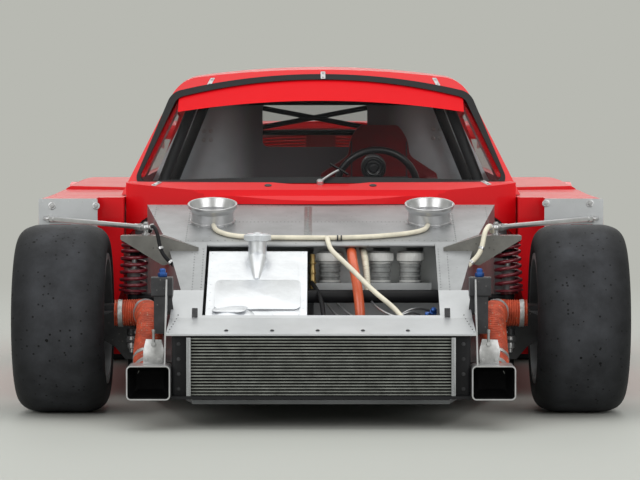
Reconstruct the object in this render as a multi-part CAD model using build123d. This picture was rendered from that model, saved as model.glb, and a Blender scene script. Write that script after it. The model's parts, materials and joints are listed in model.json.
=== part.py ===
"""Rear-engined silhouette race car with its nose section and front fenders taken off.

The car faces -Y, +X is its left (driver's) side and +Z is up. Lengths are in millimetres.
Stations are counted back from the front axle; the export moves them so that the origin
is on the floor, under the middle of the overall box.
"""
import os
from math import atan, cos, hypot, pi, radians, sin, sqrt, tan

from build123d import *

# Running gear
WHEELBASE = 2300.0
FRONT_TYRE_RADIUS = 304.5
FRONT_TYRE_WIDTH = 304.0
FRONT_WHEEL_X = 836.0
REAR_TYRE_RADIUS = 335.0
REAR_TYRE_WIDTH = 366.0
REAR_WHEEL_X = 800.0
RIM_RADIUS = 203.0
RIM_WALL = 10.0
RIM_LIP = 6.0
RIM_LIP_RISE = 9.0
BEAD_INSET = 20.0
SPOKE_COUNT = 10
SPOKE_WIDTH = 24.0
SPOKE_SHEET = 18.0
RIM_DISH = 62.0
HUB_RADIUS = 58.0
HUB_BACK = 20.0
SPINDLE_RADIUS = 24.0
SPINDLE_CLEARANCE = 0.3
DISC_RADIUS = 160.0
DISC_THICKNESS = 32.0
DISC_BACK = 34.0
KINGPIN_X = 608.0

# Front tub of riveted sheet
TUB_FRONT = -520.0
TUB_REAR = 450.0
TUB_FLOOR = 85.0
TUB_HALF_AT_AXLE = 500.0
TUB_TAPER = 0.198
TUB_WALL = 14.0
DECK_SHEET = 5.0
DECK_REAR_Z = 662.0
DECK_BREAK_Z = 552.0
DECK_NOSE_Z = 300.0
DECK_EDGE_RADIUS = 6.0
BAY_HALF_WIDTH = 370.0
BAY_FRONT = -445.0
BAY_REAR = -10.0
BAY_TRAY_Z = 392.0
BAY_TRAY_SHEET = 8.0
BAY_WALL_Y = 130.0

# Cabin and body shell
CABIN_BASE_Z = 690.0
CABIN_WALL = 28.0
TUMBLEHOME = 0.49
ROOF_SLOPE = radians(8)
SCREEN_BASE = (560.0, 735.0)
SCREEN_TOP = (1080.0, 1103.0)
SCREEN_PLAN_RADIUS = 1055.0
SEAL_WIDTH = 20.0
GLASS = 6.0
SIDE_FRONT = 364.0
WHEEL_WALL = 480.0
DOOR_FRONT = 800.0
DOOR_REAR = WHEELBASE - 580.0
DOOR_GAP = 8.0
DOOR_BOTTOM = 190.0
DOOR_INNER_X = 684.0
DOOR_REAR_SLANT = radians(24)
DOOR_TOP_REAR = DOOR_REAR - 126.0
SILL_REAR = DOOR_REAR - 160.0
SIDE_BOTTOM = 130.0
SIDE_TOP_FRONT = 685.0
SIDE_TOP_CREST = 722.0
BODY_REAR = WHEELBASE + 950.0
REAR_CORNER = 110.0
SKIN = 12.0
ARCH_RADIUS = 356.0
ARCH_LIP = 18.0
WHEELHOUSE_RADIUS = 366.0
BULKHEAD_Y = WHEELBASE - 340.0
BULKHEAD_SHEET = 12.0
BULKHEAD_HALF = 600.0
REAR_TOWER_Z = 660.0
REAR_TOWER_SHEET = 14.0
CABIN_FLOOR_HALF = 640.0
FLOOR_SHEET = 13.0
FOOTWELL_Y = 600.0
CAGE_X = 575.0
CAGE_RADIUS = 19.0
CAGE_BAR_RADIUS = 16.0
CAGE_TOP_Z = 1030.0
HOOP_Y = BULKHEAD_Y - 60.0

SEAT_X = 222.0
SEAT_REAR = BULKHEAD_Y - 90.0
WHEEL_CENTRE = (204.5, BULKHEAD_Y - 710.0, 700.0)
WHEEL_RIM_RADIUS = 148.0
WHEEL_GRIP = 13.0
COLUMN_TILT = radians(15)
COLUMN_RADIUS = 14.0
COLUMN_LENGTH = 400.0
COLUMN_CLEARANCE = 0.05
HINGE_X = 950.0
HINGE_Y = DOOR_FRONT - 4.0
HINGE_PIN = 5.0
HINGE_BARREL = 9.0
HINGE_CLEARANCE = 0.05
HINGE_SWEEP = 23.0

# Rear deck, lid and wing
LID_FRONT = WHEELBASE + 365.0
LID_REAR = WHEELBASE + 880.0
LID_HALF = 400.0
LID_GAP = 6.0
LID_WALL = 18.0
LID_LEDGE = 16.0
LID_SLOTS = 6
LID_SLOT_PITCH = 44.0
WING_HALF = 680.0
WING_Z = 905.0
WING_FRONT = WHEELBASE + 760.0
WING_CHORD = 360.0
WING_POST_X = 300.0
GRILLE_SLOTS = 5
GRILLE_PITCH = 38.0
LAMP_X = (560.0, 820.0)
LAMP_Z = (530.0, 640.0)
LAMP_DEPTH = 18.0

# Nose hardware
RADIATOR_FACE = -620.0
RADIATOR_DEPTH = 86.0
RADIATOR_HALF = 412.0
RADIATOR_BOTTOM = 103.0
RADIATOR_TUBES = 19
RADIATOR_SIDE = 14.0
RADIATOR_TANK = 46.0
TUBE_PITCH = 9.5
TUBE_HEIGHT = 3.6
TUBE_DEPTH = 14.0
SHELF_HALF = 474.0
INTAKE_FACE = -660.0
INTAKE_X = 526.0
INTAKE_WIDTH = 134.0
INTAKE_HEIGHT = 105.0
INTAKE_BOTTOM = 94.0
INTAKE_DEPTH = 130.0
INTAKE_WALL = 4.0
DUCT_RADIUS = 48.0
FILLER_X = 360.0
FILLER_Y = 235.0
FILLER_RADIUS = 82.0
FILLER_BASE = 70.0
FILLER_HEIGHT = 62.0
VENT_HOSE_RADIUS = 8.0
TUBE_RADIUS = 21.0
TOWER_HALF = 56.0
TOWER_SHEET = 4.0
TOWER_TOP = 574.0
SEAT_GAP = 0.3
COVER_DROP = 14.0
COVER_X = (-361.0, -44.0)
RESERVOIR_X = (28.0, 193.0, 292.0)
RESERVOIR_Y = 60.0
STRUT_FOOT = (570.0, 20.0, TOWER_TOP + 24.0)
STRUT_HEAD = (932.0, SIDE_FRONT + 4.0, 619.0)
STRUT_RADIUS = 8.5

# Suspension and steering
LOWER_ARM_Z = 160.0
UPPER_ARM_Z = 372.0
ARM_EYE = 20.0
ARM_EYE_HEIGHT = 24.0
ARM_TUBE = 11.0
EYE_GAP = 0.5
STEER_ARM = 115.0
RACK_Z = 265.0
RACK_RADIUS = 22.0
TIE_ROD_RADIUS = 9.0
REAR_STRUT_X = 545.0
REAR_STRUT_Y = WHEELBASE - 150.0

REAR_END = WING_FRONT + WING_CHORD
SHIFT = -(REAR_END + INTAKE_FACE) / 2

os.makedirs("parts", exist_ok=True)


# Drawing helpers
def face(points, radius=0.0):
    """A flat face inside a closed outline, its corners rounded to one radius."""
    if radius:
        return make_face(FilletPolyline(*points, radius=radius, close=True))
    return make_face(Polyline(*points, close=True))


def along_x(outline, low, high):
    """Extrudes a face drawn as (Y, Z) from X = low to X = high."""
    return extrude(Plane.YZ.offset(low) * outline, amount=high - low)


def along_y(outline, low, high):
    """Extrudes a face drawn as (X, Z) from Y = low to Y = high."""
    back = Plane(origin=(0, high, 0), x_dir=(1, 0, 0), z_dir=(0, -1, 0))
    return extrude(back * outline, amount=high - low)


def along_z(outline, low, high):
    """Extrudes a face drawn as (X, Y) from Z = low to Z = high."""
    return extrude(Plane.XY.offset(low) * outline, amount=high - low)


def block(x, y, z):
    """A box from its three (low, high) pairs."""
    centre = ((x[0] + x[1]) / 2, (y[0] + y[1]) / 2, (z[0] + z[1]) / 2)
    return Pos(*centre) * Box(x[1] - x[0], y[1] - y[0], z[1] - z[0])


def rod(start, end, radius):
    """A round bar between two points."""
    a, b = Vector(*start), Vector(*end)
    run = Plane(origin=a, z_dir=b - a)
    return extrude(run * Circle(radius), amount=(b - a).length)


def pipe(points, radii, radius):
    """A round tube's outside along straight runs joined by tangent arcs."""
    path = FilletPolyline(*points, radius=radii)
    start = Plane(origin=path @ 0, z_dir=path % 0)
    return sweep(start * Circle(radius), path=path)


def both_sides(shape):
    """The shape and its mirror image across the car's centre plane."""
    return [shape, mirror(shape, about=Plane.YZ)]


def side_of(shape, sign):
    return shape if sign > 0 else mirror(shape, about=Plane.YZ)


def joined(shapes):
    total = shapes[0]
    for shape in shapes[1:]:
        total = total + shape
    return total


def save(name, *shapes):
    moved = [Pos(0, SHIFT, 0) * solid for shape in shapes for solid in shape.solids()]
    export_step(moved[0] if len(moved) == 1 else Compound(children=moved), f"parts/{name}.step")


# Wheels, with the axle along X and the outboard side at +X
def tyre(radius, width):
    """Slick with rounded shoulders; the wheel fills it up to its beads."""
    half = width / 2
    bead = half - BEAD_INSET
    side = [(bead, RIM_RADIUS), (half, radius - 66), (half - 14, radius - 20), (half - 62, radius)]
    section = FilletPolyline(*side, *[(-x, r) for x, r in reversed(side)], radius=[50, 55, 120, 120, 55, 50])
    return revolve(make_face([section, Line((-bead, RIM_RADIUS), (bead, RIM_RADIUS))]), axis=Axis.X)


def wheel_rim(width):
    """Barrel with its lips, dished spoked centre, hub and centre-lock nut as one casting."""
    half = width / 2 - BEAD_INSET + RIM_LIP
    inner = RIM_RADIUS - RIM_WALL
    top = RIM_RADIUS + RIM_LIP_RISE
    bore = SPINDLE_RADIUS + SPINDLE_CLEARANCE
    barrel = [(-half, RIM_RADIUS), (-half, top), (-half - RIM_LIP, top), (-half - RIM_LIP, inner),
              (half + RIM_LIP, inner), (half + RIM_LIP, top), (half, top), (half, RIM_RADIUS)]
    hub_face = half - RIM_DISH
    rim_face = hub_face + 22
    dish = [(hub_face - SPOKE_SHEET - 6, HUB_RADIUS - 8), (hub_face, HUB_RADIUS - 8), (rim_face, inner + 4),
            (rim_face - SPOKE_SHEET, inner + 4)]
    hub = [(-HUB_BACK, bore), (-HUB_BACK, HUB_RADIUS), (hub_face + 4, HUB_RADIUS),
           (hub_face + 14, HUB_RADIUS - 12), (hub_face + 14, bore)]
    centre = revolve(face(dish), axis=Axis.X)
    low, high = HUB_RADIUS + 22, inner - 16
    half_turn = tan(pi / SPOKE_COUNT)
    near, far = low * half_turn - SPOKE_WIDTH / 2, high * half_turn - SPOKE_WIDTH / 2
    window = along_x(face([(-near, low), (near, low), (far, high), (-far, high)], 9), 0, half)
    for index in range(SPOKE_COUNT):
        centre = centre - Rot(X=360 * index / SPOKE_COUNT) * window
    nut_plane = Plane(origin=(hub_face + 14, 0, 0), z_dir=(1, 0, 0))
    nut = extrude(nut_plane * RegularPolygon(40, 6), amount=30)
    nut = nut - extrude(nut_plane * Circle(bore), amount=18)
    return joined([revolve(face(barrel), axis=Axis.X), centre, revolve(face(hub), axis=Axis.X), nut])


def brake_disc():
    """Disc and its hat, which bolts to the back of the wheel hub."""
    bore = SPINDLE_RADIUS + SPINDLE_CLEARANCE
    hat, eye = DISC_RADIUS - 90, DISC_RADIUS - 68
    rear = DISC_BACK + DISC_THICKNESS
    outline = [(-HUB_BACK, bore), (-HUB_BACK, hat), (-DISC_BACK, hat), (-DISC_BACK, DISC_RADIUS),
               (-rear, DISC_RADIUS), (-rear, eye), (-DISC_BACK - 10, eye), (-DISC_BACK - 10, hat - 10),
               (-HUB_BACK - 8, hat - 10), (-HUB_BACK - 8, bore)]
    return revolve(face(outline), axis=Axis.X)


WHEELS = {  # name: (X sign, station, centre height, track X, tyre radius, tyre width)
    "front_left": (1, 0.0, FRONT_TYRE_RADIUS, FRONT_WHEEL_X, FRONT_TYRE_RADIUS, FRONT_TYRE_WIDTH),
    "front_right": (-1, 0.0, FRONT_TYRE_RADIUS, FRONT_WHEEL_X, FRONT_TYRE_RADIUS, FRONT_TYRE_WIDTH),
    "rear_left": (1, WHEELBASE, REAR_TYRE_RADIUS, REAR_WHEEL_X, REAR_TYRE_RADIUS, REAR_TYRE_WIDTH),
    "rear_right": (-1, WHEELBASE, REAR_TYRE_RADIUS, REAR_WHEEL_X, REAR_TYRE_RADIUS, REAR_TYRE_WIDTH),
}


def build_wheels():
    for name, (sign, station, height, track, radius, width) in WHEELS.items():
        place = Pos(track, station, height)
        save(f"tyre_{name}", side_of(place * tyre(radius, width), sign))
        save(f"wheel_{name}", side_of(place * wheel_rim(width), sign), side_of(place * brake_disc(), sign))


# Front suspension and steering
def arm(pivots, height):
    """A wishbone from two inner pivots (X, Y) to the eye on the kingpin line."""
    eye = Pos(KINGPIN_X, 0, height) * Cylinder(ARM_EYE, ARM_EYE_HEIGHT)
    legs = [rod((x, y, height), (KINGPIN_X, 0, height), ARM_TUBE) for x, y in pivots]
    return joined([eye, *legs])


def knuckle():
    """Upright with its kingpin bosses, spindle, caliper and steering arm, left side."""
    low = LOWER_ARM_Z + ARM_EYE_HEIGHT / 2 + EYE_GAP
    high = UPPER_ARM_Z - ARM_EYE_HEIGHT / 2 - EYE_GAP
    post = [(KINGPIN_X - 20, low), (KINGPIN_X + 26, low), (KINGPIN_X + 60, low + 40),
            (KINGPIN_X + 110, low + 70), (KINGPIN_X + 110, high - 50), (KINGPIN_X + 50, high - 24),
            (KINGPIN_X + 26, high), (KINGPIN_X - 20, high)]
    body = along_y(face(post), -26, 26)
    spindle_end = FRONT_WHEEL_X + 60
    spindle = rod((KINGPIN_X + 40, 0, FRONT_TYRE_RADIUS), (spindle_end, 0, FRONT_TYRE_RADIUS),
                  SPINDLE_RADIUS)
    disc_x = FRONT_WHEEL_X - DISC_BACK - DISC_THICKNESS / 2
    caliper = block((disc_x - 44, disc_x + 36), (88, 176), (FRONT_TYRE_RADIUS - 75, FRONT_TYRE_RADIUS + 75))
    swept = rod((disc_x - DISC_THICKNESS / 2 - 6, 0, FRONT_TYRE_RADIUS),
                (disc_x + DISC_THICKNESS / 2 + 6, 0, FRONT_TYRE_RADIUS), DISC_RADIUS + 4)
    caliper = caliper - swept
    carrier = block((KINGPIN_X + 70, disc_x - 38), (20, 150),
                    (FRONT_TYRE_RADIUS - 40, FRONT_TYRE_RADIUS + 40))
    arm_z = RACK_Z - 22
    lever = along_z(face([(KINGPIN_X - 18, 20), (KINGPIN_X + 24, 20), (KINGPIN_X + 16, -STEER_ARM - 14),
                          (KINGPIN_X - 16, -STEER_ARM - 14)]), arm_z - 8, arm_z + 8)
    return joined([body, spindle, caliper, carrier, lever])


def coil_over(foot, head, spring_low, spring_high, radius, wire, turns):
    """Damper from foot to head with its two spring seats, and the coil between them."""
    base, top = Vector(*foot), Vector(*head)
    length = (top - base).length
    seat, plate = radius + wire, 8.0
    body, shaft = radius * 0.5, radius * 0.24
    middle = (spring_low + spring_high) / 2
    outline = [(0, 0), (body, 0), (body, spring_low - plate), (seat, spring_low - plate), (seat, spring_low),
               (body, spring_low), (body, middle), (shaft, middle), (shaft, spring_high),
               (seat, spring_high),
               (seat, spring_high + plate), (body, spring_high + plate), (body, length), (0, length)]
    damper = revolve(Plane.XZ * face(outline), axis=Axis.Z)
    free = spring_high - spring_low
    coil = Helix(pitch=free / turns, height=free, radius=radius)
    spring = sweep(Plane(origin=coil @ 0, z_dir=coil % 0) * Circle(wire), path=coil, is_frenet=True)
    ground = Pos(0, 0, free / 2) * Cylinder(2 * radius, free - 2 * SEAT_GAP)
    stand = Plane(origin=base, z_dir=top - base).location
    return [stand * damper, stand * (Pos(0, 0, spring_low) * (spring & ground))]


def build_front_suspension():
    tub = nose_outer()
    lower = arm([(462, -150), (536, 150)], LOWER_ARM_Z) - tub
    upper = arm([(488, -55), (522, 60)], UPPER_ARM_Z) - tub
    save("front_wishbones", *both_sides(lower), *both_sides(upper))
    save("knuckle_left", knuckle())
    save("knuckle_right", mirror(knuckle(), about=Plane.YZ))
    foot = UPPER_ARM_Z + ARM_EYE_HEIGHT / 2
    head = TOWER_TOP - TOWER_SHEET - SEAT_GAP - 1
    damper, spring = coil_over((KINGPIN_X + 4, 0, foot - 3), (KINGPIN_X - 6, 0, head), 18, 170, 40, 6, 6.5)
    seat = block((500, 700), (-100, 100), (300, foot))
    save("front_coilovers", *both_sides(damper - seat), *both_sides(spring))
    reach = tub_half(-STEER_ARM) - 170
    housing = rod((-reach, -STEER_ARM, RACK_Z), (reach, -STEER_ARM, RACK_Z), RACK_RADIUS)
    bore = rod((-reach - 1, -STEER_ARM, RACK_Z), (reach + 1, -STEER_ARM, RACK_Z), TIE_ROD_RADIUS + 1)
    clamps = [block((x - 15, x + 15), (-STEER_ARM - 30, -STEER_ARM + 30),
                    (TUB_FLOOR + TUB_WALL, RACK_Z - 12))
              for x in (-250, 250)]
    save("rack_housing", joined([housing, *clamps]) - bore)
    rack = rod((-KINGPIN_X + 4, -STEER_ARM, RACK_Z), (KINGPIN_X - 4, -STEER_ARM, RACK_Z), TIE_ROD_RADIUS)
    ends = [Pos(sign * KINGPIN_X, -STEER_ARM, RACK_Z + 2) * Cylinder(15, 22) for sign in (1, -1)]
    save("rack_and_tie_rods", joined([rack, *ends]))


# Front tub, deck and what is in the bay
def tub_half(station):
    return TUB_HALF_AT_AXLE + TUB_TAPER * station


def nose_side_profile(drop=0.0):
    """(Y, Z) outline of the tub, its top lowered by drop."""
    return [(TUB_FRONT, TUB_FLOOR), (TUB_FRONT, DECK_NOSE_Z - drop), (0, DECK_BREAK_Z - drop),
            (TUB_REAR, DECK_REAR_Z - drop), (TUB_REAR, TUB_FLOOR)]


def nose_plan(inset=0.0, front=TUB_FRONT, rear=TUB_REAR):
    a, b = tub_half(front) - inset, tub_half(rear) - inset
    return [(-a, front), (a, front), (b, rear), (-b, rear)]


def nose_outer():
    plan = along_z(face(nose_plan()), 0, 900)
    return along_x(face(nose_side_profile()), -700, 700) & plan


def nose_inner():
    plan = nose_plan(TUB_WALL, TUB_FRONT + TUB_WALL, TUB_REAR - TUB_WALL)
    return along_z(face(plan), TUB_FLOOR + TUB_WALL, 900)


NOSE_SLOPE = (DECK_BREAK_Z - DECK_NOSE_Z) / (0 - TUB_FRONT)
DECK_SLOPE = (DECK_REAR_Z - DECK_BREAK_Z) / TUB_REAR


def build_tub():
    outer = nose_outer()
    below_sheet = along_x(face(nose_side_profile(DECK_SHEET)), -700, 700)
    walls = (outer & below_sheet) - nose_inner()
    for sign in (1, -1):
        walls = walls - rod((sign * 400, -STEER_ARM, RACK_Z), (sign * 560, -STEER_ARM, RACK_Z), 30)
    save("nose_tub", walls)

    bay = block((-BAY_HALF_WIDTH, BAY_HALF_WIDTH), (BAY_FRONT, BAY_REAR), (200, 700))
    sheet = outer - below_sheet - bay
    for sign in (1, -1):
        sheet = sheet - rod((sign * FILLER_X, FILLER_Y, 500), (sign * FILLER_X, FILLER_Y, 700), 52)
    edge = (BAY_REAR, DECK_BREAK_Z + NOSE_SLOPE * BAY_REAR - DECK_EDGE_RADIUS)
    roll = rod((1 - BAY_HALF_WIDTH, *edge), (BAY_HALF_WIDTH - 1, *edge), DECK_EDGE_RADIUS)
    save("front_deck", joined([sheet, roll]))

    shelf = shelf_sheet() - outer - bay
    save("front_shelf", shelf)
    post = face([(TUB_FRONT + 80, 398), (TUB_FRONT + 80, 458), (TUB_FRONT + 144, 458),
                 (TUB_FRONT + 144, 398)], 5)
    head = along_x(post, SHELF_HALF - 12, SHELF_HALF + 55)
    column = block((SHELF_HALF + 8, SHELF_HALF + 46), (TUB_FRONT + 86, TUB_FRONT + 138), (282, 400))
    gusset = along_y(face([(SHELF_HALF - 16, 340), (SHELF_HALF + 10, 340), (SHELF_HALF + 10, 400),
                           (SHELF_HALF - 8, 400)]), TUB_FRONT + 108, TUB_FRONT + 114)
    save("jack_posts", *both_sides(joined([head, column, gusset - shelf])))

    rear_wall = block((-24, BAY_HALF_WIDTH + 70), (BAY_WALL_Y, BAY_WALL_Y + 6), (300, 700)) & below_sheet
    tray = block((-20, BAY_HALF_WIDTH - 10), (18, BAY_WALL_Y), (BAY_TRAY_Z, BAY_TRAY_Z + BAY_TRAY_SHEET))
    lip = block((-20, BAY_HALF_WIDTH - 10), (18, 21), (BAY_TRAY_Z, BAY_TRAY_Z + 26))
    wall = joined([rear_wall, tray, lip])
    for x in (200, 309):
        wall = wall - rod((x, BAY_WALL_Y - 10, 525), (x, BAY_WALL_Y + 20, 525), 28)
    save("bay_wall", wall)
    build_tank_cover()


def cover_height(station):
    return DECK_BREAK_Z + NOSE_SLOPE * station - COVER_DROP


def build_tank_cover():
    """Bright cover on the bay's right, with a raised panel, a filler neck with its cap and a spout."""
    front, rear, base = BAY_FRONT + 6, BAY_REAR - 10, 292.0

    def wedge(low, high, start, end, rise):
        return along_x(face([(start, base), (start, cover_height(start) + rise),
                             (end, cover_height(end) + rise),
                             (end, base)]), low, high)

    body = fillet(wedge(*COVER_X, front, rear, 0).edges().filter_by(Axis.X).group_by(Axis.Z)[-1], 9)
    panel = fillet(wedge(COVER_X[0] + 34, COVER_X[1] - 30, front + 70, rear - 90,
                         5).edges().group_by(Axis.Z)[-1], 3)
    cap_x, cap_y, cap_z = -205.0, -62.0, cover_height(-62) + 52
    neck = rod((cap_x, cap_y, cap_z - 80), (cap_x, cap_y, cap_z), 30)
    cap = Pos(cap_x, cap_y, cap_z + 9) * chamfer(Cylinder(42, 20).edges().filter_by(GeomType.CIRCLE), 2)
    slope = atan(NOSE_SLOPE) * 180 / pi
    spout = Pos(cap_x, -150, cover_height(-150)) * Rot(X=slope - 90) * Cone(10, 32, 130)
    depth = (170 - 14) / cos(radians(slope))
    dome = Pos(COVER_X[0] + 88, front + 84, cover_height(front + 84) - depth) * Sphere(170)
    dome = dome & wedge(*COVER_X, front, rear, 40)
    save("tank_cover", joined([body, panel, dome, neck, cap, spout & wedge(*COVER_X, front, rear, 60)]))


def shelf_sheet():
    """Sloping sheet ahead of the bay, with a wing up each side of the tub."""
    bend, top = TUB_FRONT + 60, -300
    shelf = along_x(face([(RADIATOR_FACE, 288), (RADIATOR_FACE, 293), (bend, 333), (top, 411),
                          (top, 405), (bend, 327), (RADIATOR_FACE + 1, 288)]), -SHELF_HALF, SHELF_HALF)
    reach = tub_half(top) + 24
    wing = face([(-SHELF_HALF, RADIATOR_FACE), (SHELF_HALF, RADIATOR_FACE), (reach, top), (-reach, top)])
    return shelf & along_z(wing, 200, 500)


def tower():
    """Sheet bracket over the left spring, running in to a wedge on the nose sheet."""
    top, sheet = TOWER_TOP, TOWER_SHEET
    outline = face([(648, top), (516, top), (396, top - 38), (396, top - 74), (512, top - 96),
                    (648, top - 12)])
    under = face([(649, top - sheet), (517, top - sheet), (400, top - 41), (400, top - 180),
                  (649, top - 180)])
    solid = along_y(outline, -TOWER_HALF, TOWER_HALF)
    return solid - along_y(under, -TOWER_HALF + sheet, TOWER_HALF - sheet)


def build_towers():
    save("spring_towers", *both_sides(tower() - nose_outer()))


def build_radiator():
    top = RADIATOR_BOTTOM + RADIATOR_TUBES * TUBE_PITCH
    back = RADIATOR_FACE + RADIATOR_DEPTH
    tip = RADIATOR_FACE + 6
    root = tip + TUBE_DEPTH
    comb = [(back, RADIATOR_BOTTOM), (root, RADIATOR_BOTTOM)]
    for index in range(RADIATOR_TUBES):
        low = RADIATOR_BOTTOM + index * TUBE_PITCH + (TUBE_PITCH - TUBE_HEIGHT) / 2
        high = low + TUBE_HEIGHT
        comb += [(root, low), (tip, low), (tip, high), (root, high)]
    comb += [(root, top), (back, top)]
    save("radiator_core", along_x(face(comb), -RADIATOR_HALF + RADIATOR_SIDE, RADIATOR_HALF - RADIATOR_SIDE))
    side = block((RADIATOR_HALF - RADIATOR_SIDE, RADIATOR_HALF), (RADIATOR_FACE, back),
                 (RADIATOR_BOTTOM, top))
    tank = block((RADIATOR_HALF, RADIATOR_HALF + RADIATOR_TANK), (RADIATOR_FACE + 26, back),
                 (RADIATOR_BOTTOM, top))
    tank = fillet(tank.edges().filter_by(Axis.Z).group_by(Axis.X)[-1], 12)
    frames = both_sides(joined([side, tank]))
    reach = INTAKE_X - INTAKE_WIDTH / 2
    rail = block((-reach, reach), (RADIATOR_FACE - 4, back), (RADIATOR_BOTTOM - 9, RADIATOR_BOTTOM))
    save("radiator_frame", joined([rail, *frames]))


def build_intakes():
    """Square brake-air mouths on their straps, and the hoses that lead to the hubs."""
    x = (INTAKE_X - INTAKE_WIDTH / 2, INTAKE_X + INTAKE_WIDTH / 2)
    z = (INTAKE_BOTTOM, INTAKE_BOTTOM + INTAKE_HEIGHT)
    wall = INTAKE_WALL
    duct_y = INTAKE_FACE + INTAKE_DEPTH

    def rectangle(inset):
        return [(x[0] + inset, z[0] + inset), (x[1] - inset, z[0] + inset), (x[1] - inset, z[1] - inset),
                (x[0] + inset, z[1] - inset)]

    hollow = along_y(face(rectangle(wall), 10), INTAKE_FACE - 1, duct_y - wall)
    box = along_y(face(rectangle(0), 14), INTAKE_FACE, duct_y)
    post_front = TUB_FRONT + 80 - SEAT_GAP
    strap = along_x(face([(duct_y - 70, z[1] - 20), (duct_y - 40, z[1] - 20), (duct_y - 40, z[1] - 2),
                          (post_front, 376), (post_front, 452), (post_front - 12, 452)]),
                    SHELF_HALF + 3, SHELF_HALF + 8)
    save("brake_intakes", *both_sides((box + strap) - hollow))
    mouth = (INTAKE_X, duct_y, (z[0] + z[1]) / 2 + 2)
    route = [mouth, (INTAKE_X, duct_y + 110, 165), (INTAKE_X + 4, -250, 326), (INTAKE_X + 34, -128, 328),
             (648, -124, 328)]
    hose = pipe(route, [60, 70, 52], DUCT_RADIUS) - block((400, 700), (-700, duct_y), (0, 300))
    save("brake_hose_left", hose)
    save("brake_hose_right", mirror(hose, about=Plane.YZ))


def build_bay():
    """Fillers, reservoirs, cross tube and the struts to the fender plates."""
    save("fuel_fillers", *filler_cups())
    base = BAY_TRAY_Z + BAY_TRAY_SHEET
    outline = [(0, 0), (38, 0), (38, 20), (33, 24)]
    for rib in range(3):
        outline += [(33, 34 + 17 * rib), (35.5, 36 + 17 * rib), (35.5, 40 + 17 * rib), (33, 42 + 17 * rib)]
    outline += [(33, 86), (43, 88), (43, 114), (38, 118), (0, 118)]
    pot = revolve(Plane.XZ * face(outline), axis=Axis.Z)
    save("reservoirs", *[Pos(x, RESERVOIR_Y, base) * pot for x in RESERVOIR_X])
    bar = rod((COVER_X[1] + 0.4, -90, 380), (600, -90, 380), TUBE_RADIUS)
    save("cross_tube", bar & nose_inner())
    foot, low = STRUT_FOOT, (*STRUT_FOOT[:2], TOWER_TOP + SEAT_GAP)
    strut = rod(foot, STRUT_HEAD, STRUT_RADIUS) + Pos(*foot) * Sphere(13) + rod(low, foot, 7)
    strut = strut + (Pos(*low) * Cylinder(13, 5, align=(Align.CENTER, Align.CENTER, Align.MIN)))
    save("fender_struts", *both_sides(strut - block((700, 1000), (SIDE_FRONT - 4, SIDE_FRONT + 40),
                                                    (500, 700))))


def filler_cups(solid=False):
    """Open filler collars with their necks, both standing on the deck; solid fills them in."""
    deck_z = DECK_BREAK_Z + DECK_SLOPE * FILLER_Y
    rim, base, top = FILLER_RADIUS, FILLER_BASE, FILLER_HEIGHT
    cup = [(50, 0), (base + 2, 0), (base + 2, 5), (base, 8), (base, top - 24), (rim - 4, top - 14),
           (rim, top - 8),
           (rim, top), (rim - 6, top), (base - 6, top - 26), (base - 6, 10), (50, 10)]
    neck = [(42, -40), (50, -40), (50, 10), (42, 10)]
    shapes = [revolve(Plane.XZ * face(points), axis=Axis.Z) for points in (cup, neck)]
    whole = joined(shapes)
    tilt = Pos(FILLER_X, FILLER_Y, deck_z + SEAT_GAP - 0.1) * Rot(X=atan(DECK_SLOPE) * 180 / pi)
    if solid:
        filled = [(0, 0), (base + 2, 0), (base + 2, 5), (base, 8), (rim, top), (0, top)]
        whole = revolve(Plane.XZ * face(filled), axis=Axis.Z)
    return both_sides(tilt * whole)


def build_hoses():
    """Vent hoses from the fillers, the drain hose and the silicone coolant hose."""

    def on_deck(x, y):
        return (x, y, DECK_BREAK_Z + DECK_SLOPE * y + VENT_HOSE_RADIUS + 0.5)

    tee = on_deck(19, 18)
    left = [on_deck(-358, 190), on_deck(-345, 100), on_deck(-290, 40), on_deck(-180, 22), on_deck(-70, 20),
            tee]
    right = [on_deck(358, 190), on_deck(340, 106), on_deck(270, 62), on_deck(160, 30), on_deck(70, 20), tee]
    drain = [tee, (20, -14, 564), (30, -60, 530), (90, -140, 478), (160, -240, 410), (236, -350, 352),
             (276, -420, 300), (276, -420, TUB_FLOOR + TUB_WALL)]
    runs = [pipe(points, bends(points), VENT_HOSE_RADIUS) for points in (left, right, drain)]
    whole = joined([*runs, Pos(*tee) * Sphere(VENT_HOSE_RADIUS + 0.4)])
    for cup in filler_cups(solid=True):
        whole = whole - cup
    save("vent_hoses", whole)
    coolant = [(98, BAY_WALL_Y, 528), (98, 20, 528), (102, -50, 492), (116, -130, 420), (126, -165, 330),
               (126, -165, TUB_FLOOR + TUB_WALL)]
    save("coolant_hose", pipe(coolant, bends(coolant), 16))


def bends(points):
    """Arc radii that use 0.45 of each corner's shorter run."""
    radii = []
    for before, here, after in zip(points, points[1:], points[2:]):
        a = Vector(*here) - Vector(*before)
        b = Vector(*after) - Vector(*here)
        radii.append(0.45 * min(a.length, b.length) / tan(radians(a.get_angle(b)) / 2))
    return radii


# Cabin shell
SECTIONS = [  # station, half width at the base, crown height, corner radius
    (480, 684, 1072, 120),
    (1000, 706, 1122, 120),
    (1450, 716, 1150, 120),
    (WHEELBASE - 300, 698, 1108, 120),
    (WHEELBASE + 360, 610, 932, 105),
    (WHEELBASE + 900, 520, 806, 60),
]


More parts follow.
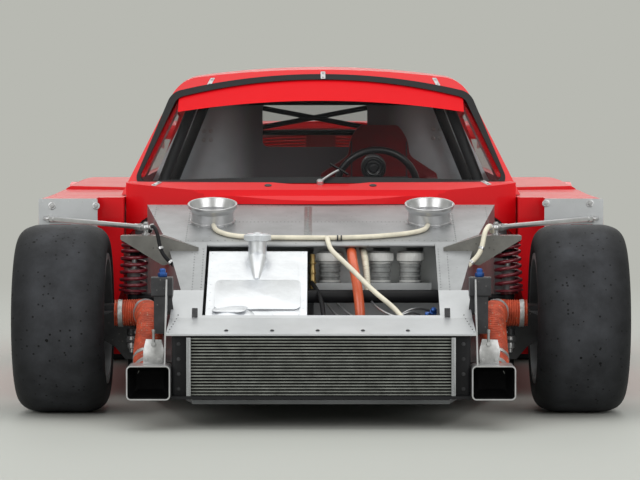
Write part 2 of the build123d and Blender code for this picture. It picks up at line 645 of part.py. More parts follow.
def cabin_section(station, half_base, crown, radius, inset, base):
    """Closed wire: base line, leaning sides, tangent corner arcs and a crowned top."""
    lean = hypot(1, TUMBLEHOME)
    half = half_base - inset * lean
    crown = crown - inset
    corner_r = max(radius - inset, 20)
    side_angle = atan(1 / TUMBLEHOME)
    turn = side_angle - ROOF_SLOPE
    reach = corner_r * tan(turn / 2)
    guess = half - TUMBLEHOME * (crown - 40 - CABIN_BASE_Z)
    drop = reach * sin(ROOF_SLOPE) + (guess - reach * cos(ROOF_SLOPE)) * tan(ROOF_SLOPE / 2)
    corner_z = crown - drop
    corner_x = half - TUMBLEHOME * (corner_z - CABIN_BASE_Z)
    side_dir = (-cos(side_angle), sin(side_angle))
    low = (corner_x - side_dir[0] * reach, corner_z - side_dir[1] * reach)
    high = (corner_x - reach * cos(ROOF_SLOPE), corner_z + reach * sin(ROOF_SLOPE))
    centre = (high[0] - corner_r * sin(ROOF_SLOPE), high[1] - corner_r * cos(ROOF_SLOPE))
    mid_angle = pi / 2 - (ROOF_SLOPE + turn / 2)
    middle = (centre[0] + corner_r * cos(mid_angle), centre[1] + corner_r * sin(mid_angle))
    foot = (half + TUMBLEHOME * (CABIN_BASE_Z - base), base)
    top = (0, high[1] + high[0] * tan(ROOF_SLOPE / 2))

    def left(p):
        return (-p[0], p[1])

    plane = Plane(origin=(0, station, 0), x_dir=(1, 0, 0), z_dir=(0, -1, 0))
    edges = [Line(left(foot), foot), Line(foot, low), ThreePointArc(low, middle, high),
             ThreePointArc(high, top, left(high)), ThreePointArc(left(high), left(middle), left(low)),
             Line(left(low), left(foot))]
    return plane * make_face(edges)


def screen_front(inset=0.0):
    """Everything ahead of the curved, raked windscreen surface."""
    run = (SCREEN_TOP[0] - SCREEN_BASE[0], SCREEN_TOP[1] - SCREEN_BASE[1])
    length = hypot(*run)
    direction = (0, run[0] / length, run[1] / length)
    start_z = 560.0 - inset * run[0] / length
    centre_y = SCREEN_BASE[0] + (560.0 - SCREEN_BASE[1]) * run[0] / run[1] + inset * run[1] / length
    half = 900.0
    sagitta = SCREEN_PLAN_RADIUS - sqrt(SCREEN_PLAN_RADIUS ** 2 - half ** 2)
    arc = ThreePointArc((half, centre_y + sagitta), (0, centre_y), (-half, centre_y + sagitta))
    rest = Polyline((-half, centre_y + sagitta), (-half, centre_y - 900), (half, centre_y - 900),
                    (half, centre_y + sagitta))
    flat = Plane.XY.offset(start_z) * make_face([arc, rest])
    return extrude(flat, amount=1150, dir=direction)


def cabin_form(inset=0.0, base=CABIN_BASE_Z):
    faces = [cabin_section(*row, inset, base) for row in SECTIONS]
    if inset > 20:
        last = SECTIONS[-1]
        faces[-1] = cabin_section(last[0] - inset, *last[1:], inset, base)
    return loft(faces) - screen_front(inset)


def screen_outline(inset=0.0):
    """(X, Z) outline of the windscreen opening as seen from ahead."""
    low, high, top = (662 - inset, 716 + inset), (540 - inset * 1.1, 1052 - inset), 1117 - inset
    return make_face([ThreePointArc((-low[0], low[1]), (0, 734 + inset), low), Line(low, high),
                      ThreePointArc(high, (0, top), (-high[0], high[1])),
                      Line((-high[0], high[1]), (-low[0], low[1]))])


def screen_prism(inset=0.0):
    flat = screen_outline(inset)
    flat = fillet(flat.vertices().sort_by(Axis.Y)[-2:], 62 - inset)
    flat = fillet(flat.vertices().sort_by(Axis.Y)[:2], 34 - inset * 0.7)
    return along_y(flat, 300, 1400)


SIDE_WINDOW = [(DOOR_FRONT + 125, 742), (DOOR_REAR - 168, 742), (DOOR_REAR - 190, 1022), (1276, 1030)]
QUARTER_WINDOW = [(DOOR_REAR - 40, 742), (WHEELBASE - 50, 772), (WHEELBASE - 230, 968),
                  (DOOR_REAR - 60, 1018)]
REAR_WINDOW = [(-330, WHEELBASE - 190), (330, WHEELBASE - 190), (400, WHEELBASE + 300),
               (-400, WHEELBASE + 300)]
WINDOW_CORNER = 26.0


def door_region(gap=0.0):
    """The space of the left door, grown by gap on every shut line; its rear face slants."""
    outline = [(DOOR_FRONT - gap, DOOR_BOTTOM - gap), (DOOR_REAR + 400, DOOR_BOTTOM - gap),
               (DOOR_REAR + 400, 1050 + gap), (1252 - gap * 0.6, 1062 + gap),
               (DOOR_FRONT - gap + 28, 716 + gap * 0.5),
               (DOOR_FRONT - gap, 700)]
    region = along_x(face(outline), 400, 1100)
    slant = tan(DOOR_REAR_SLANT)
    rear = DOOR_REAR + gap / cos(DOOR_REAR_SLANT)
    edge = [(1100, rear + 110 * slant), (300, rear - 690 * slant), (300, DOOR_REAR + 900),
            (1100, DOOR_REAR + 900)]
    inward = Vector(-cos(DOOR_REAR_SLANT), -sin(DOOR_REAR_SLANT), 0)
    pillar = Vector(-TUMBLEHOME, 0, 1).normalized()
    back = Plane(origin=(706, DOOR_TOP_REAR + gap, CABIN_BASE_Z), x_dir=inward, z_dir=inward.cross(pillar))
    above = block((0, 1100), (0, 3000), (CABIN_BASE_Z, 1300))
    beyond = extrude(back * Rectangle(1600, 1600), amount=900) & above
    return region - along_z(face(edge), 0, CABIN_BASE_Z) - beyond


BODY = [  # station, half width at the sill, at the middle, at the shoulder, top height, shoulder radius
    (SIDE_FRONT - 1, 948, 951, 950, SIDE_TOP_FRONT, 12),
    (1100, 962, 974, 970, SIDE_TOP_FRONT + 4, 26),
    (DOOR_REAR + 80, 972, 988, 982, 706, 42),
    (WHEELBASE + 100, 976, 992, 985, SIDE_TOP_CREST, 54),
    (WHEELBASE + 650, 968, 988, 976, SIDE_TOP_CREST - 8, 50),
    (BODY_REAR, 950, 972, 956, 694, 44),
]


def body_section(station, sill, middle, shoulder, top, radius):
    """Closed wire across the whole body below the windows: bowed sides and rounded shoulders."""
    high, inner = top - radius, shoulder - radius
    bow = (SIDE_BOTTOM + high) / 2
    corner = (inner + radius * sin(pi / 4), high + radius * cos(pi / 4))

    def left(p):
        return (-p[0], p[1])

    plane = Plane(origin=(0, station, 0), x_dir=(1, 0, 0), z_dir=(0, -1, 0))
    foot, waist, edge, crown = (sill, SIDE_BOTTOM), (middle, bow), (shoulder, high), (inner, top)
    return plane * make_face([Line(left(foot), foot), ThreePointArc(foot, waist, edge),
                              ThreePointArc(edge, corner, crown), Line(crown, left(crown)),
                              ThreePointArc(left(crown), left(corner), left(edge)),
                              ThreePointArc(left(edge), left(waist), left(foot))])


def body_form():
    """The body below the windows as one solid, its rear corners rounded in plan and tucked in below."""
    plan = face([(-1010, SIDE_FRONT - 1), (1010, SIDE_FRONT - 1), (975, BODY_REAR), (-975, BODY_REAR)])
    plan = fillet(plan.vertices().sort_by(Axis.Y)[-2:], REAR_CORNER)
    tuck = face([(BODY_REAR - 4, 430), (BODY_REAR + 90, 430), (BODY_REAR + 90, 100), (BODY_REAR - 330, 100),
                 (BODY_REAR - 190, 200), (BODY_REAR - 60, 300)])
    return (loft([body_section(*row) for row in BODY]) & along_z(plan, 0, 900)) - along_x(tuck, -1100, 1100)


def build_body():
    shell = cabin_form() - cabin_form(CABIN_WALL, base=600)
    openings = screen_prism() & screen_front(60)
    rebate = block((-LID_HALF - LID_GAP, LID_HALF + LID_GAP), (LID_FRONT - LID_GAP, BODY_REAR + 50),
                   (640, 1300))
    lid_hole = block((LID_LEDGE - LID_HALF, LID_HALF - LID_LEDGE), (LID_FRONT + LID_LEDGE, BODY_REAR + 50),
                     (640, 1300))
    lid_hole = lid_hole + (rebate & (cabin_form(-2) - cabin_form(LID_WALL)))
    rear_glass = along_z(face(REAR_WINDOW, 50), 700, 1300)
    quarter = along_x(face(QUARTER_WINDOW, 24), -900, 900)
    roof = shell - openings - lid_hole - rear_glass - quarter
    for sign in (1, -1):
        roof = roof - side_of(door_region(DOOR_GAP), sign)
    save("cabin_shell", roof)

    thin = cabin_form(3) - cabin_form(3 + GLASS)
    save("windscreen", thin & screen_prism(SEAL_WIDTH) & screen_front(40))
    band = cabin_form(-4) - cabin_form(14)
    save("windscreen_seal", band & (screen_prism(0.0) - screen_prism(SEAL_WIDTH)) & screen_front(40))
    save("rear_glass", thin & rear_glass, thin & quarter)

    slab = body_form()
    door_side = block((DOOR_INNER_X, 1100), (0, 3000), (0, CABIN_BASE_Z))
    lower = slab & door_side & door_region()
    frame = (shell & door_region() & block((300, 1100), (0, 3000), (CABIN_BASE_Z - 1, 1200)))
    pane_hole = along_x(face(SIDE_WINDOW, WINDOW_CORNER), 300, 1100)
    post, bored, ears, barrels = door_hinge()
    door = (frame + lower) - pane_hole - ears
    door = joined([door, *barrels]) - bored
    pane = thin & pane_hole
    for name, sign in (("left", 1), ("right", -1)):
        save(f"door_{name}", side_of(door, sign))
        save(f"door_glass_{name}", side_of(pane, sign))

    inner_edge = DOOR_INNER_X - 12
    wall = along_y(face([(inner_edge, 720), (1000, 720), (1000, SIDE_BOTTOM), (760, SIDE_BOTTOM),
                         (inner_edge, 394)]),
                   WHEEL_WALL, DOOR_FRONT - DOOR_GAP)
    lid_top = block((756, 1000), (SIDE_FRONT, WHEEL_WALL), (SIDE_TOP_FRONT - SKIN, 720))
    lid_side = block((930, 1000), (SIDE_FRONT, WHEEL_WALL), (588, 720))
    fender = slab & (wall + lid_top + lid_side)
    sill = slab & block((650, 1100), (DOOR_FRONT - DOOR_GAP - 1, SILL_REAR),
                        (SIDE_BOTTOM, DOOR_BOTTOM - DOOR_GAP))
    sweep = rod((HINGE_X, HINGE_Y, DOOR_BOTTOM - DOOR_GAP), (HINGE_X, HINGE_Y, 760), HINGE_SWEEP)
    fender = joined([(fender - cabin_form(0)) - sweep, sill, post])
    save("front_fender_backs", *both_sides(fender))
    plate = along_y(face([(752, 588), (950, 588), (950, SIDE_TOP_FRONT), (752, SIDE_TOP_FRONT)], 5),
                    SIDE_FRONT - 4, SIDE_FRONT)
    slot = along_y(face([(838, 570), (918, 570), (918, 599), (838, 599)], 6), SIDE_FRONT - 10,
                   SIDE_FRONT + 10)
    save("fender_plates", *both_sides(plate - slot))
    build_tail(slab)
    build_cowl()


HINGE_STEPS = [  # door barrel's low and high ends
    (300, 350),
    (540, 590),
]


def door_hinge():
    """Left door hinge: pin with its ears, the bore through the barrels, room for the ears, the barrels."""
    base = (HINGE_X, HINGE_Y)
    low, high = HINGE_STEPS[0][0] - 16, HINGE_STEPS[-1][1] + 16
    ears, barrels = [], []
    for start, end in HINGE_STEPS:
        barrels.append(rod((*base, start), (*base, end), HINGE_BARREL))
        for z in (start - 16, end + 0.5):
            ears.append(block((HINGE_X - 4, HINGE_X + 2), (HINGE_Y - 40, HINGE_Y), (z, z + 15.5)))
            ears.append(rod((*base, z), (*base, z + 15.5), HINGE_BARREL))
    pin = joined([rod((*base, low), (*base, high), HINGE_PIN), *ears])
    bore = rod((*base, low - 10), (*base, high + 10), HINGE_PIN + HINGE_CLEARANCE)
    room = rod((*base, low - 1), (*base, high + 1), HINGE_BARREL + 3)
    for start, end in HINGE_STEPS:
        room = room - rod((*base, start), (*base, end), HINGE_BARREL + 4)
    return pin, bore, room, barrels


def build_cowl():
    """Scuttle ahead of the windscreen, its front channel, and the skirt that closes it down to the deck."""
    front = TUB_REAR - 8
    side = DOOR_INNER_X - 16
    profile = [(front, 664), (front, 676), (front + 22, 692), (front + 40, 688), (front + 50, 712),
               (SCREEN_BASE[0] + 6, 736), (1050, 736), (1050, 664)]
    body = along_x(face(profile), -side, side)
    ahead = joined([cabin_form(0, base=640), cabin_form(-5) & screen_prism(-3)])

    def plan_from(start):
        arc = ThreePointArc((side, start + 118), (0, start), (-side, start + 118))
        rest = Polyline((-side, start + 118), (-side, 980), (side, 980), (side, start + 118))
        return along_z(make_face([arc, rest]), 500, 800)

    inner = cabin_form(CABIN_WALL, base=600)
    body = (body & plan_from(front)) - inner - ahead
    for sign in (1, -1):
        body = body - side_of(door_region(DOOR_GAP), sign)
    body = body - block((-640, 640), (front + 68, 1000), (600, 690))
    skirt = along_y(face([(400, 700), (side, 700), (side, 548), (612, 606), (560, 640), (400, 668)]), 400,
                    560)
    skirt = (skirt & plan_from(front)) - plan_from(front + 7)
    save("cowl", joined([body, *both_sides(skirt - nose_outer() - cabin_form(0, base=640))]))


FOIL = [  # along the chord, underside, top
    (0.0, 0.0, 0.0),
    (0.16, -13.0, 17.0),
    (0.55, -9.0, 20.0),
    (1.0, 44.0, 50.0),
]


def wing_section():
    """(Y, Z) outline of the wing, its nose and both faces as arcs."""
    low = [(WING_FRONT + share * WING_CHORD, WING_Z + under) for share, under, over in FOIL]
    top = [(WING_FRONT + share * WING_CHORD, WING_Z + over) for share, under, over in FOIL]
    return make_face([ThreePointArc(low[1], low[0], top[1]), ThreePointArc(top[1], top[2], top[3]),
                      Line(top[3], low[3]), ThreePointArc(low[3], low[2], low[1])])


def build_tail(slab):
    """Tail section: both rear flanks, the skin between them and the back panel with its grille."""
    full = BODY_REAR + 100
    tail = slab - block((-1100, 1100), (0, SILL_REAR), (0, 900))
    for sign in (1, -1):
        tail = tail - side_of(door_region(DOOR_GAP), sign)
    sill_top = DOOR_BOTTOM - DOOR_GAP
    tail = tail - block((-650, 650), (0, DOOR_REAR + 1), (0, sill_top + 0.1))
    tail = tail - block((-1100, 1100), (0, DOOR_REAR), (sill_top, sill_top + 0.1))
    tail = tail - block((-BULKHEAD_HALF, BULKHEAD_HALF), (0, BODY_REAR - SKIN), (0, SIDE_TOP_CREST - 25))
    tail = tail - block((-660, 660), (0, BULKHEAD_Y + BULKHEAD_SHEET), (0, 900))
    tail = tail - block((-BULKHEAD_HALF, BULKHEAD_HALF), (BODY_REAR - 250, full), (0, 262))
    tail = tail - cabin_form(0, base=600)
    arch_x = 994 - SKIN

    def across(radius, reach):
        return rod((-reach, WHEELBASE, REAR_TYRE_RADIUS), (reach, WHEELBASE, REAR_TYRE_RADIUS), radius)

    lip = (across(ARCH_RADIUS + ARCH_LIP, 994) - block((-962, 962), (0, full), (0, 900)))
    lip = lip & block((-1100, 1100), (0, full), (SIDE_BOTTOM + 30, 900))
    tail = (tail + lip) - across(WHEELHOUSE_RADIUS, arch_x - 8) - across(ARCH_RADIUS, 1100)
    for index in range(GRILLE_SLOTS):
        low = 330 + index * GRILLE_PITCH
        slot = along_y(face([(-430, low), (430, low), (430, low + 22), (-430, low + 22)], 8),
                       BODY_REAR - 200, full)
        tail = tail - slot
    recess = along_y(face(lamp_outline(3), 16), BODY_REAR - LAMP_DEPTH, full)
    for sign in (1, -1):
        tail = tail - side_of(recess, sign)
    save("tail_body", tail)
    lamp = along_y(face(lamp_outline(0), 14), BODY_REAR - LAMP_DEPTH, BODY_REAR - 2)
    lamp = chamfer(lamp.faces().sort_by(Axis.Y)[-1].edges(), 2)
    save("tail_lamps", *both_sides(lamp))

    lid_plan = face([(-LID_HALF, LID_FRONT), (LID_HALF, LID_FRONT), (LID_HALF, LID_REAR),
                     (-LID_HALF, LID_REAR)])
    lid = (cabin_form(0) - cabin_form(LID_WALL, base=600)) & along_z(lid_plan, 640, 1300)
    for index in range(LID_SLOTS):
        low = LID_FRONT + 70 + index * LID_SLOT_PITCH
        for sign in (1, -1):
            slot = face([(sign * 60, low), (sign * 310, low), (sign * 310, low + 16),
                         (sign * 60, low + 16)], 6)
            lid = lid - along_z(slot, 640, 1300)
    save("engine_lid", lid)

    front, rear = WING_FRONT - 20, WING_FRONT + WING_CHORD
    plate = face([(front, WING_Z - 60), (front, WING_Z + 40), (rear, WING_Z + 66), (rear, WING_Z - 70)], 22)
    ends = [along_x(plate, x, x + 8) for x in (-WING_HALF - 8, WING_HALF)]
    foot = face([(WING_FRONT - 26, 760), (WING_FRONT + 20, WING_Z), (WING_FRONT + 130, WING_Z),
                 (WING_FRONT + 100, 760)])
    posts = [along_x(foot, x - 6, x + 6) for x in (-WING_POST_X, WING_POST_X)]
    wing = along_x(wing_section(), -WING_HALF, WING_HALF)
    save("rear_wing", joined([wing, *ends, *posts]) - cabin_form(0))


def lamp_outline(grow):
    (x0, x1), (z0, z1) = LAMP_X, LAMP_Z
    return [(x0 - grow, z0 - grow), (x1 + grow, z0 - grow), (x1 + grow, z1 + grow), (x0 - grow, z1 + grow)]


# Cabin inside, floor, engine and rear running gear
def build_inside():
    front, rear = tub_half(TUB_FRONT), tub_half(TUB_REAR)
    half, tail = CABIN_FLOOR_HALF, BULKHEAD_Y + BULKHEAD_SHEET
    right = [(front, TUB_FRONT - 20), (front, TUB_FRONT), (rear, TUB_REAR), (half, FOOTWELL_Y + 20),
             (half, BULKHEAD_Y - 10), (BULKHEAD_HALF, tail)]
    plan = right + [(-x, y) for x, y in reversed(right)]
    floor = along_z(face(plan), TUB_FLOOR - FLOOR_SHEET, TUB_FLOOR)
    side = block((half - 60, half), (FOOTWELL_Y + 19, BULKHEAD_Y), (TUB_FLOOR - 1, 300))
    footwell = block((-half, half), (FOOTWELL_Y, FOOTWELL_Y + 20), (TUB_FLOOR - 1, 640))
    save("floor_pan", joined([footwell, floor, *both_sides(side)]))

    sheet = (BULKHEAD_Y, BULKHEAD_Y + BULKHEAD_SHEET)
    section = cabin_form(CABIN_WALL + 2, base=600) & block((-800, 800), sheet, (CABIN_BASE_Z, 1300))
    lower = block((-BULKHEAD_HALF, BULKHEAD_HALF), sheet, (TUB_FLOOR, CABIN_BASE_Z + 1))
    shelf = block((REAR_STRUT_X - 65, REAR_STRUT_X + 65), (BULKHEAD_Y, REAR_STRUT_Y + 65),
                  (REAR_TOWER_Z, REAR_TOWER_Z + REAR_TOWER_SHEET))
    window = along_y(face([(-226, 850), (180, 850), (180, 1021), (-226, 1021)], 24), BULKHEAD_Y - 5,
                     BULKHEAD_Y + 30)
    save("rear_bulkhead", joined([section, lower, *both_sides(shelf)]) - window)

    cage = build_cage()
    reach = CAGE_X - CAGE_RADIUS
    dash = along_x(face([(790, 560), (820, 690), (900, 706), (925, 640), (905, 560)], 8), -reach, reach)
    hood = along_x(face([(812, 680), (870, 752), (930, 748), (938, 690), (900, 660)], 14), 100, 309)
    centre = Vector(*WHEEL_CENTRE)
    axis = Vector(0, cos(COLUMN_TILT), sin(COLUMN_TILT))
    bore = rod(tuple(centre), tuple(centre - axis * (COLUMN_LENGTH + 5)), COLUMN_RADIUS + COLUMN_CLEARANCE)
    save("dashboard", (joined([dash, hood]) - bore) - cage)
    build_seat()
    build_steering_wheel()


def build_seat():
    """One-piece race seat with its side bolsters and head rest, on two runners."""
    rear = SEAT_REAR
    side = [(rear - 610, 110), (rear - 170, 110), (rear - 80, 150), (rear, 640), (rear - 20, 955),
            (rear - 80, 960),
            (rear - 100, 860), (rear - 125, 640), (rear - 180, 260), (rear - 610, 250)]
    outer = along_x(face(side, 18), SEAT_X - 250, SEAT_X + 250)
    front = [(-250, 110), (250, 110), (262, 300), (250, 640), (235, 760), (128, 830), (122, 950),
             (-122, 950),
             (-128, 830), (-235, 760), (-250, 640), (-262, 300)]
    outline = along_y(face([(SEAT_X + x, z) for x, z in front], 16), rear - 770, rear + 130)
    bolster = face([(rear - 600, 120), (rear - 170, 120), (rear - 80, 150), (rear - 10, 640),
                    (rear - 20, 760),
                    (rear - 170, 740), (rear - 270, 420), (rear - 370, 330), (rear - 600, 310)], 14)
    bolsters = [along_x(bolster, SEAT_X + s * 215 - 35, SEAT_X + s * 215 + 35) for s in (-1, 1)]
    runners = [block((SEAT_X + x - 14, SEAT_X + x + 14), (rear - 580, rear - 210), (TUB_FLOOR, 118))
               for x in (-170, 170)]
    save("seat", joined([joined([outer, *bolsters]) & outline, *runners]))


def build_cage():
    """Roll cage, and the cross brace bolted behind the bulkhead's window."""
    points = [(CAGE_X, 880, 300), (CAGE_X, 880, 690), (452, 1200, 1036), (440, HOOP_Y, CAGE_TOP_Z)]
    foot, knee = (CAGE_X, HOOP_Y, 300), (CAGE_X, HOOP_Y, 700)
    runs = [*zip(points, points[1:]), (foot, knee), (knee, points[-1])]
    bars = [((CAGE_X, 880, 600), (CAGE_X, HOOP_Y, 380)), ((CAGE_X, 880, 380), (CAGE_X, HOOP_Y, 600))]
    half = [rod(start, end, CAGE_RADIUS) for start, end in runs]
    half += [rod(start, end, CAGE_BAR_RADIUS) for start, end in bars]
    half += [Pos(*p) * Sphere(CAGE_RADIUS) for p in (*points[1:], knee)]
    cross = [rod((-x, y, z), (x, y, z), CAGE_RADIUS) for x, y, z in points[2:]]
    cage = joined([shape for tube in half for shape in both_sides(tube)] + cross)
    y = BULKHEAD_Y + BULKHEAD_SHEET + 10 + SEAT_GAP
    brace = [rod((-256, y, 1006), (200, y, 921), 10), rod((-256, y, 921), (200, y, 1006), 10),
             rod((-256, y, 906), (200, y, 906), 10)]
    brace += [rod((x, y, 896), (x, y, 1016), 10) for x in (-256, 200)]
    save("roll_cage", cage, joined(brace))
    return cage


def build_steering_wheel():
    """Three drilled spokes, padded rim, boss and column, turning together."""
    parts = [Torus(WHEEL_RIM_RADIUS, WHEEL_GRIP)]
    holes = Compound(children=[Pos(x, 0, -6) * Cylinder(7, 20) for x in (66, 90, 114)])
    for angle in (0, 90, 180):
        parts.append(Rot(Z=angle) * ((Pos(WHEEL_RIM_RADIUS / 2, 0, -6) * Box(130, 28, 5)) - holes))
    parts.append(Pos(0, 0, -20) * Cylinder(44, 40))
    parts.append(Pos(0, 0, -COLUMN_LENGTH / 2) * Cylinder(COLUMN_RADIUS, COLUMN_LENGTH))
    tilt = Plane(origin=WHEEL_CENTRE, x_dir=(1, 0, 0), z_dir=(0, cos(COLUMN_TILT), sin(COLUMN_TILT)))
    save("steering_wheel", tilt.location * joined(parts))


def build_rear():
    """Engine and gearbox as one plain block, shafts, hub carriers, rear coil-overs, exhausts."""
    bulkhead = BULKHEAD_Y + BULKHEAD_SHEET
    gearbox_half = 160.0
    engine = joined([block((-340, 340), (WHEELBASE + 140, WHEELBASE + 760), (230, 560)),
                     block((-gearbox_half, gearbox_half), (bulkhead, WHEELBASE + 140), (200, 430))])
    save("engine", engine)
    hub = block((REAR_WHEEL_X - 130, REAR_WHEEL_X - 80), (WHEELBASE - 70, WHEELBASE + 70), (195, 465))
    hub = chamfer(hub.edges().filter_by(Axis.X), 18)
    shafts = rod((gearbox_half, WHEELBASE, REAR_TYRE_RADIUS - 20),
                 (REAR_WHEEL_X - 125, WHEELBASE, REAR_TYRE_RADIUS), 22)
    gearbox = block((0, gearbox_half), (WHEELBASE - 300, WHEELBASE + 300), (200, 430))
    save("drive_shafts", *both_sides(shafts - hub - gearbox))
    spindle = rod((REAR_WHEEL_X - 100, WHEELBASE, REAR_TYRE_RADIUS),
                  (REAR_WHEEL_X + 90, WHEELBASE, REAR_TYRE_RADIUS),
                  SPINDLE_RADIUS)
    knee, pivot = (575, WHEELBASE - 90, 275), (545, bulkhead - 20, 230)
    trailing = joined([rod((REAR_WHEEL_X - 120, WHEELBASE - 40, 285), knee, 26), Pos(*knee) * Sphere(26),
                       rod(knee, pivot, 26)]) - block((400, 700), (bulkhead - 100, bulkhead), (100, 400))
    save("rear_hub_carriers", *both_sides(joined([hub, spindle, trailing])))
    damper, spring = coil_over((REAR_STRUT_X, REAR_STRUT_Y, 262), (REAR_STRUT_X, REAR_STRUT_Y, REAR_TOWER_Z),
                               120, 330, 46, 7, 6)
    save("rear_coilovers", *both_sides(damper - trailing), *both_sides(spring))
    tail = BODY_REAR + 20
    outlet = rod((290, tail - 410, 185), (290, tail, 185), 45)
    bore = rod((290, tail - 390, 185), (290, tail + 1, 185), 41)
    save("exhausts", *both_sides(outlet - bore))


build_wheels()
build_front_suspension()
build_tub()
build_towers()
build_radiator()
build_intakes()
build_bay()
build_hoses()
build_body()
build_inside()
build_rear()
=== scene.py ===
"""Finishes, fine detail and studio for a race car shown with its nose section taken off.

The frame is in metres: the car faces -Y, +X is its left side and +Z is up. Stations are
distances behind the front axle.
"""

import json
import math
from contextlib import contextmanager

import bmesh
import bpy
from mathutils import Matrix, Vector
from mathutils.bvhtree import BVHTree


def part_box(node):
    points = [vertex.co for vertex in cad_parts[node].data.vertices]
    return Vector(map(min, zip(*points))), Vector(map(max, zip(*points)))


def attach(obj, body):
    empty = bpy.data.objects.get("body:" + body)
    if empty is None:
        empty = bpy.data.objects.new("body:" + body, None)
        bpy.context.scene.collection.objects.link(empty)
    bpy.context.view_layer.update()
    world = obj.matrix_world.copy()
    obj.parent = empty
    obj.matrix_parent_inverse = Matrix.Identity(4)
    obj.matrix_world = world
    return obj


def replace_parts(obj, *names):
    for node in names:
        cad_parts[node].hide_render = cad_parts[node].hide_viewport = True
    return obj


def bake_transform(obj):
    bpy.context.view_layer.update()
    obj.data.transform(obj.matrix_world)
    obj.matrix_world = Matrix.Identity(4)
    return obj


bl_info = {
    "name": "Race Car Dressing",
    "version": (1, 0, 0),
    "blender": (4, 5, 0),
    "location": "3D View > Sidebar > Race Car",
    "description": "Finishes and fine detail for a race car with its nose section off",
    "category": "Object",
}

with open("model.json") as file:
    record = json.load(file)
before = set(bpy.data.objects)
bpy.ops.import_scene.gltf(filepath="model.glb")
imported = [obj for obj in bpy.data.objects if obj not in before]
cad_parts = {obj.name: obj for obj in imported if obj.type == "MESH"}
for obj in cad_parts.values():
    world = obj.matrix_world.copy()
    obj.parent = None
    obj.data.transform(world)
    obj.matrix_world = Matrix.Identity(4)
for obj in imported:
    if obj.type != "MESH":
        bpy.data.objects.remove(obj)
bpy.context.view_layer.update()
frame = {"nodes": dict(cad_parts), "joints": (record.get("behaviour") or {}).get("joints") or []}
JOINTS = {joint["name"]: Vector(joint["pos_m"]) for joint in frame["joints"] if "pos_m" in joint}
FRONT_HUB = JOINTS["spin_front_left"]
REAR_HUB = JOINTS["spin_rear_left"]
AXLE_Y = FRONT_HUB.y
SIDES = (("left", 1), ("right", -1))
SIGNS = (1, -1)
UP, DOWN, AHEAD, BACK = (0, 0, 1), (0, 0, -1), (0, -1, 0), (0, 1, 0)
BRIGHT, DARK, RUBBER = (("machined_metal", "bright_sheet"), ("dark_metal", "dark_steel"),
                        ("soft_rubber", "black_rubber"))  # finish, slot


def at(x, station, z):
    """A point from its X, its distance behind the front axle and its height."""
    return Vector((x, AXLE_Y + station, z))


def placed(points, sign=1):
    """Points given by X, station and height, on the left side or mirrored to the right."""
    return [at(sign * x, station, z) for x, station, z in points]


# Settings
def colour(name, description, default):
    return bpy.props.FloatVectorProperty(name=name, description=description, default=default, subtype="COLOR",
                                         min=0.0, max=1.0)


def amount(name, description, default):
    return bpy.props.FloatProperty(name=name, description=description, default=default, min=0.0, max=1.0,
                                   subtype="FACTOR")


def length(name, description, default):
    return bpy.props.FloatProperty(name=name, description=description, default=default, min=0.0, unit="LENGTH")


class RaceCarFinish(bpy.types.PropertyGroup):
    body_red: colour("Body red", "Colour of the painted body", (0.72, 0.003, 0.008))
    sheet_tone: colour("Sheet tone", "Colour of the riveted aluminium sheet", (0.43, 0.44, 0.45))
    cover_tone: colour("Cover tone", "Colour of the bright tank cover", (0.82, 0.84, 0.87))
    bracket_tone: colour("Bracket tone", "Colour of the plated brackets", (0.20, 0.195, 0.18))
    tyre_black: colour("Tyre black", "Colour of the slick tyres", (0.0148, 0.0154, 0.0172))
    spring_red: colour("Spring red", "Colour of the coil springs", (0.16, 0.006, 0.015))
    duct_orange: colour("Duct orange", "Colour of the ribbed brake ducts", (0.60, 0.085, 0.030))
    hose_cream: colour("Hose cream", "Colour of the vent hoses", (0.82, 0.76, 0.60))
    gloss: amount("Paint gloss", "Strength of the clear coat on the paint", 0.35)


class RaceCarStudio(bpy.types.PropertyGroup):
    camera_distance: length("Camera distance", "From the camera to the front axle", 10.0)
    camera_height: length("Camera height", "Height of the lens over the floor", 0.9156)
    wall_tone: colour("Wall tone", "Colour of the studio wall and floor", (0.479, 0.485, 0.445))
    sky_strength: amount("Sky strength", "Strength of the even light from all round", 0.58)
    floor_width: length("Floor width", "Width of the studio floor", 60.0)


def finish():
    return bpy.context.scene.race_car_finish


def studio():
    return bpy.context.scene.race_car_studio


# Shader node groups
def group(name, inputs, outputs):
    """A new shader node group with its sockets; a None default makes a colour input."""
    tree = bpy.data.node_groups.new(name, "ShaderNodeTree")
    for label, default in inputs.items():
        kind = "Color" if default is None else "Vector" if isinstance(default, tuple) else "Float"
        socket = tree.interface.new_socket(label, in_out="INPUT", socket_type="NodeSocket" + kind)
        if default is not None:
            socket.default_value = default
    for label, kind in outputs.items():
        tree.interface.new_socket(label, in_out="OUTPUT", socket_type="NodeSocket" + kind)
    return tree, tree.nodes.new("NodeGroupInput").outputs, tree.nodes.new("NodeGroupOutput").inputs


def node(tree, kind, feeds=None, **values):
    """A new shader node; feeds maps its inputs to the sockets that feed them."""
    made = tree.nodes.new("ShaderNode" + kind)
    for key, value in values.items():
        label = key.replace("_", " ")
        if label in made.inputs:
            made.inputs[label].default_value = value
        else:
            setattr(made, key, value)
    for key, source in (feeds or {}).items():
        tree.links.new(source, made.inputs[key])
    return made


def surface_point(tree):
    return node(tree, "TexCoord").outputs["Object"]


def shared(build):
    """Keeps the node group that a builder makes, so that each is made once."""
    def get():
        name = build.__name__.capitalize()
        return bpy.data.node_groups.get(name) or build(name)
    return get


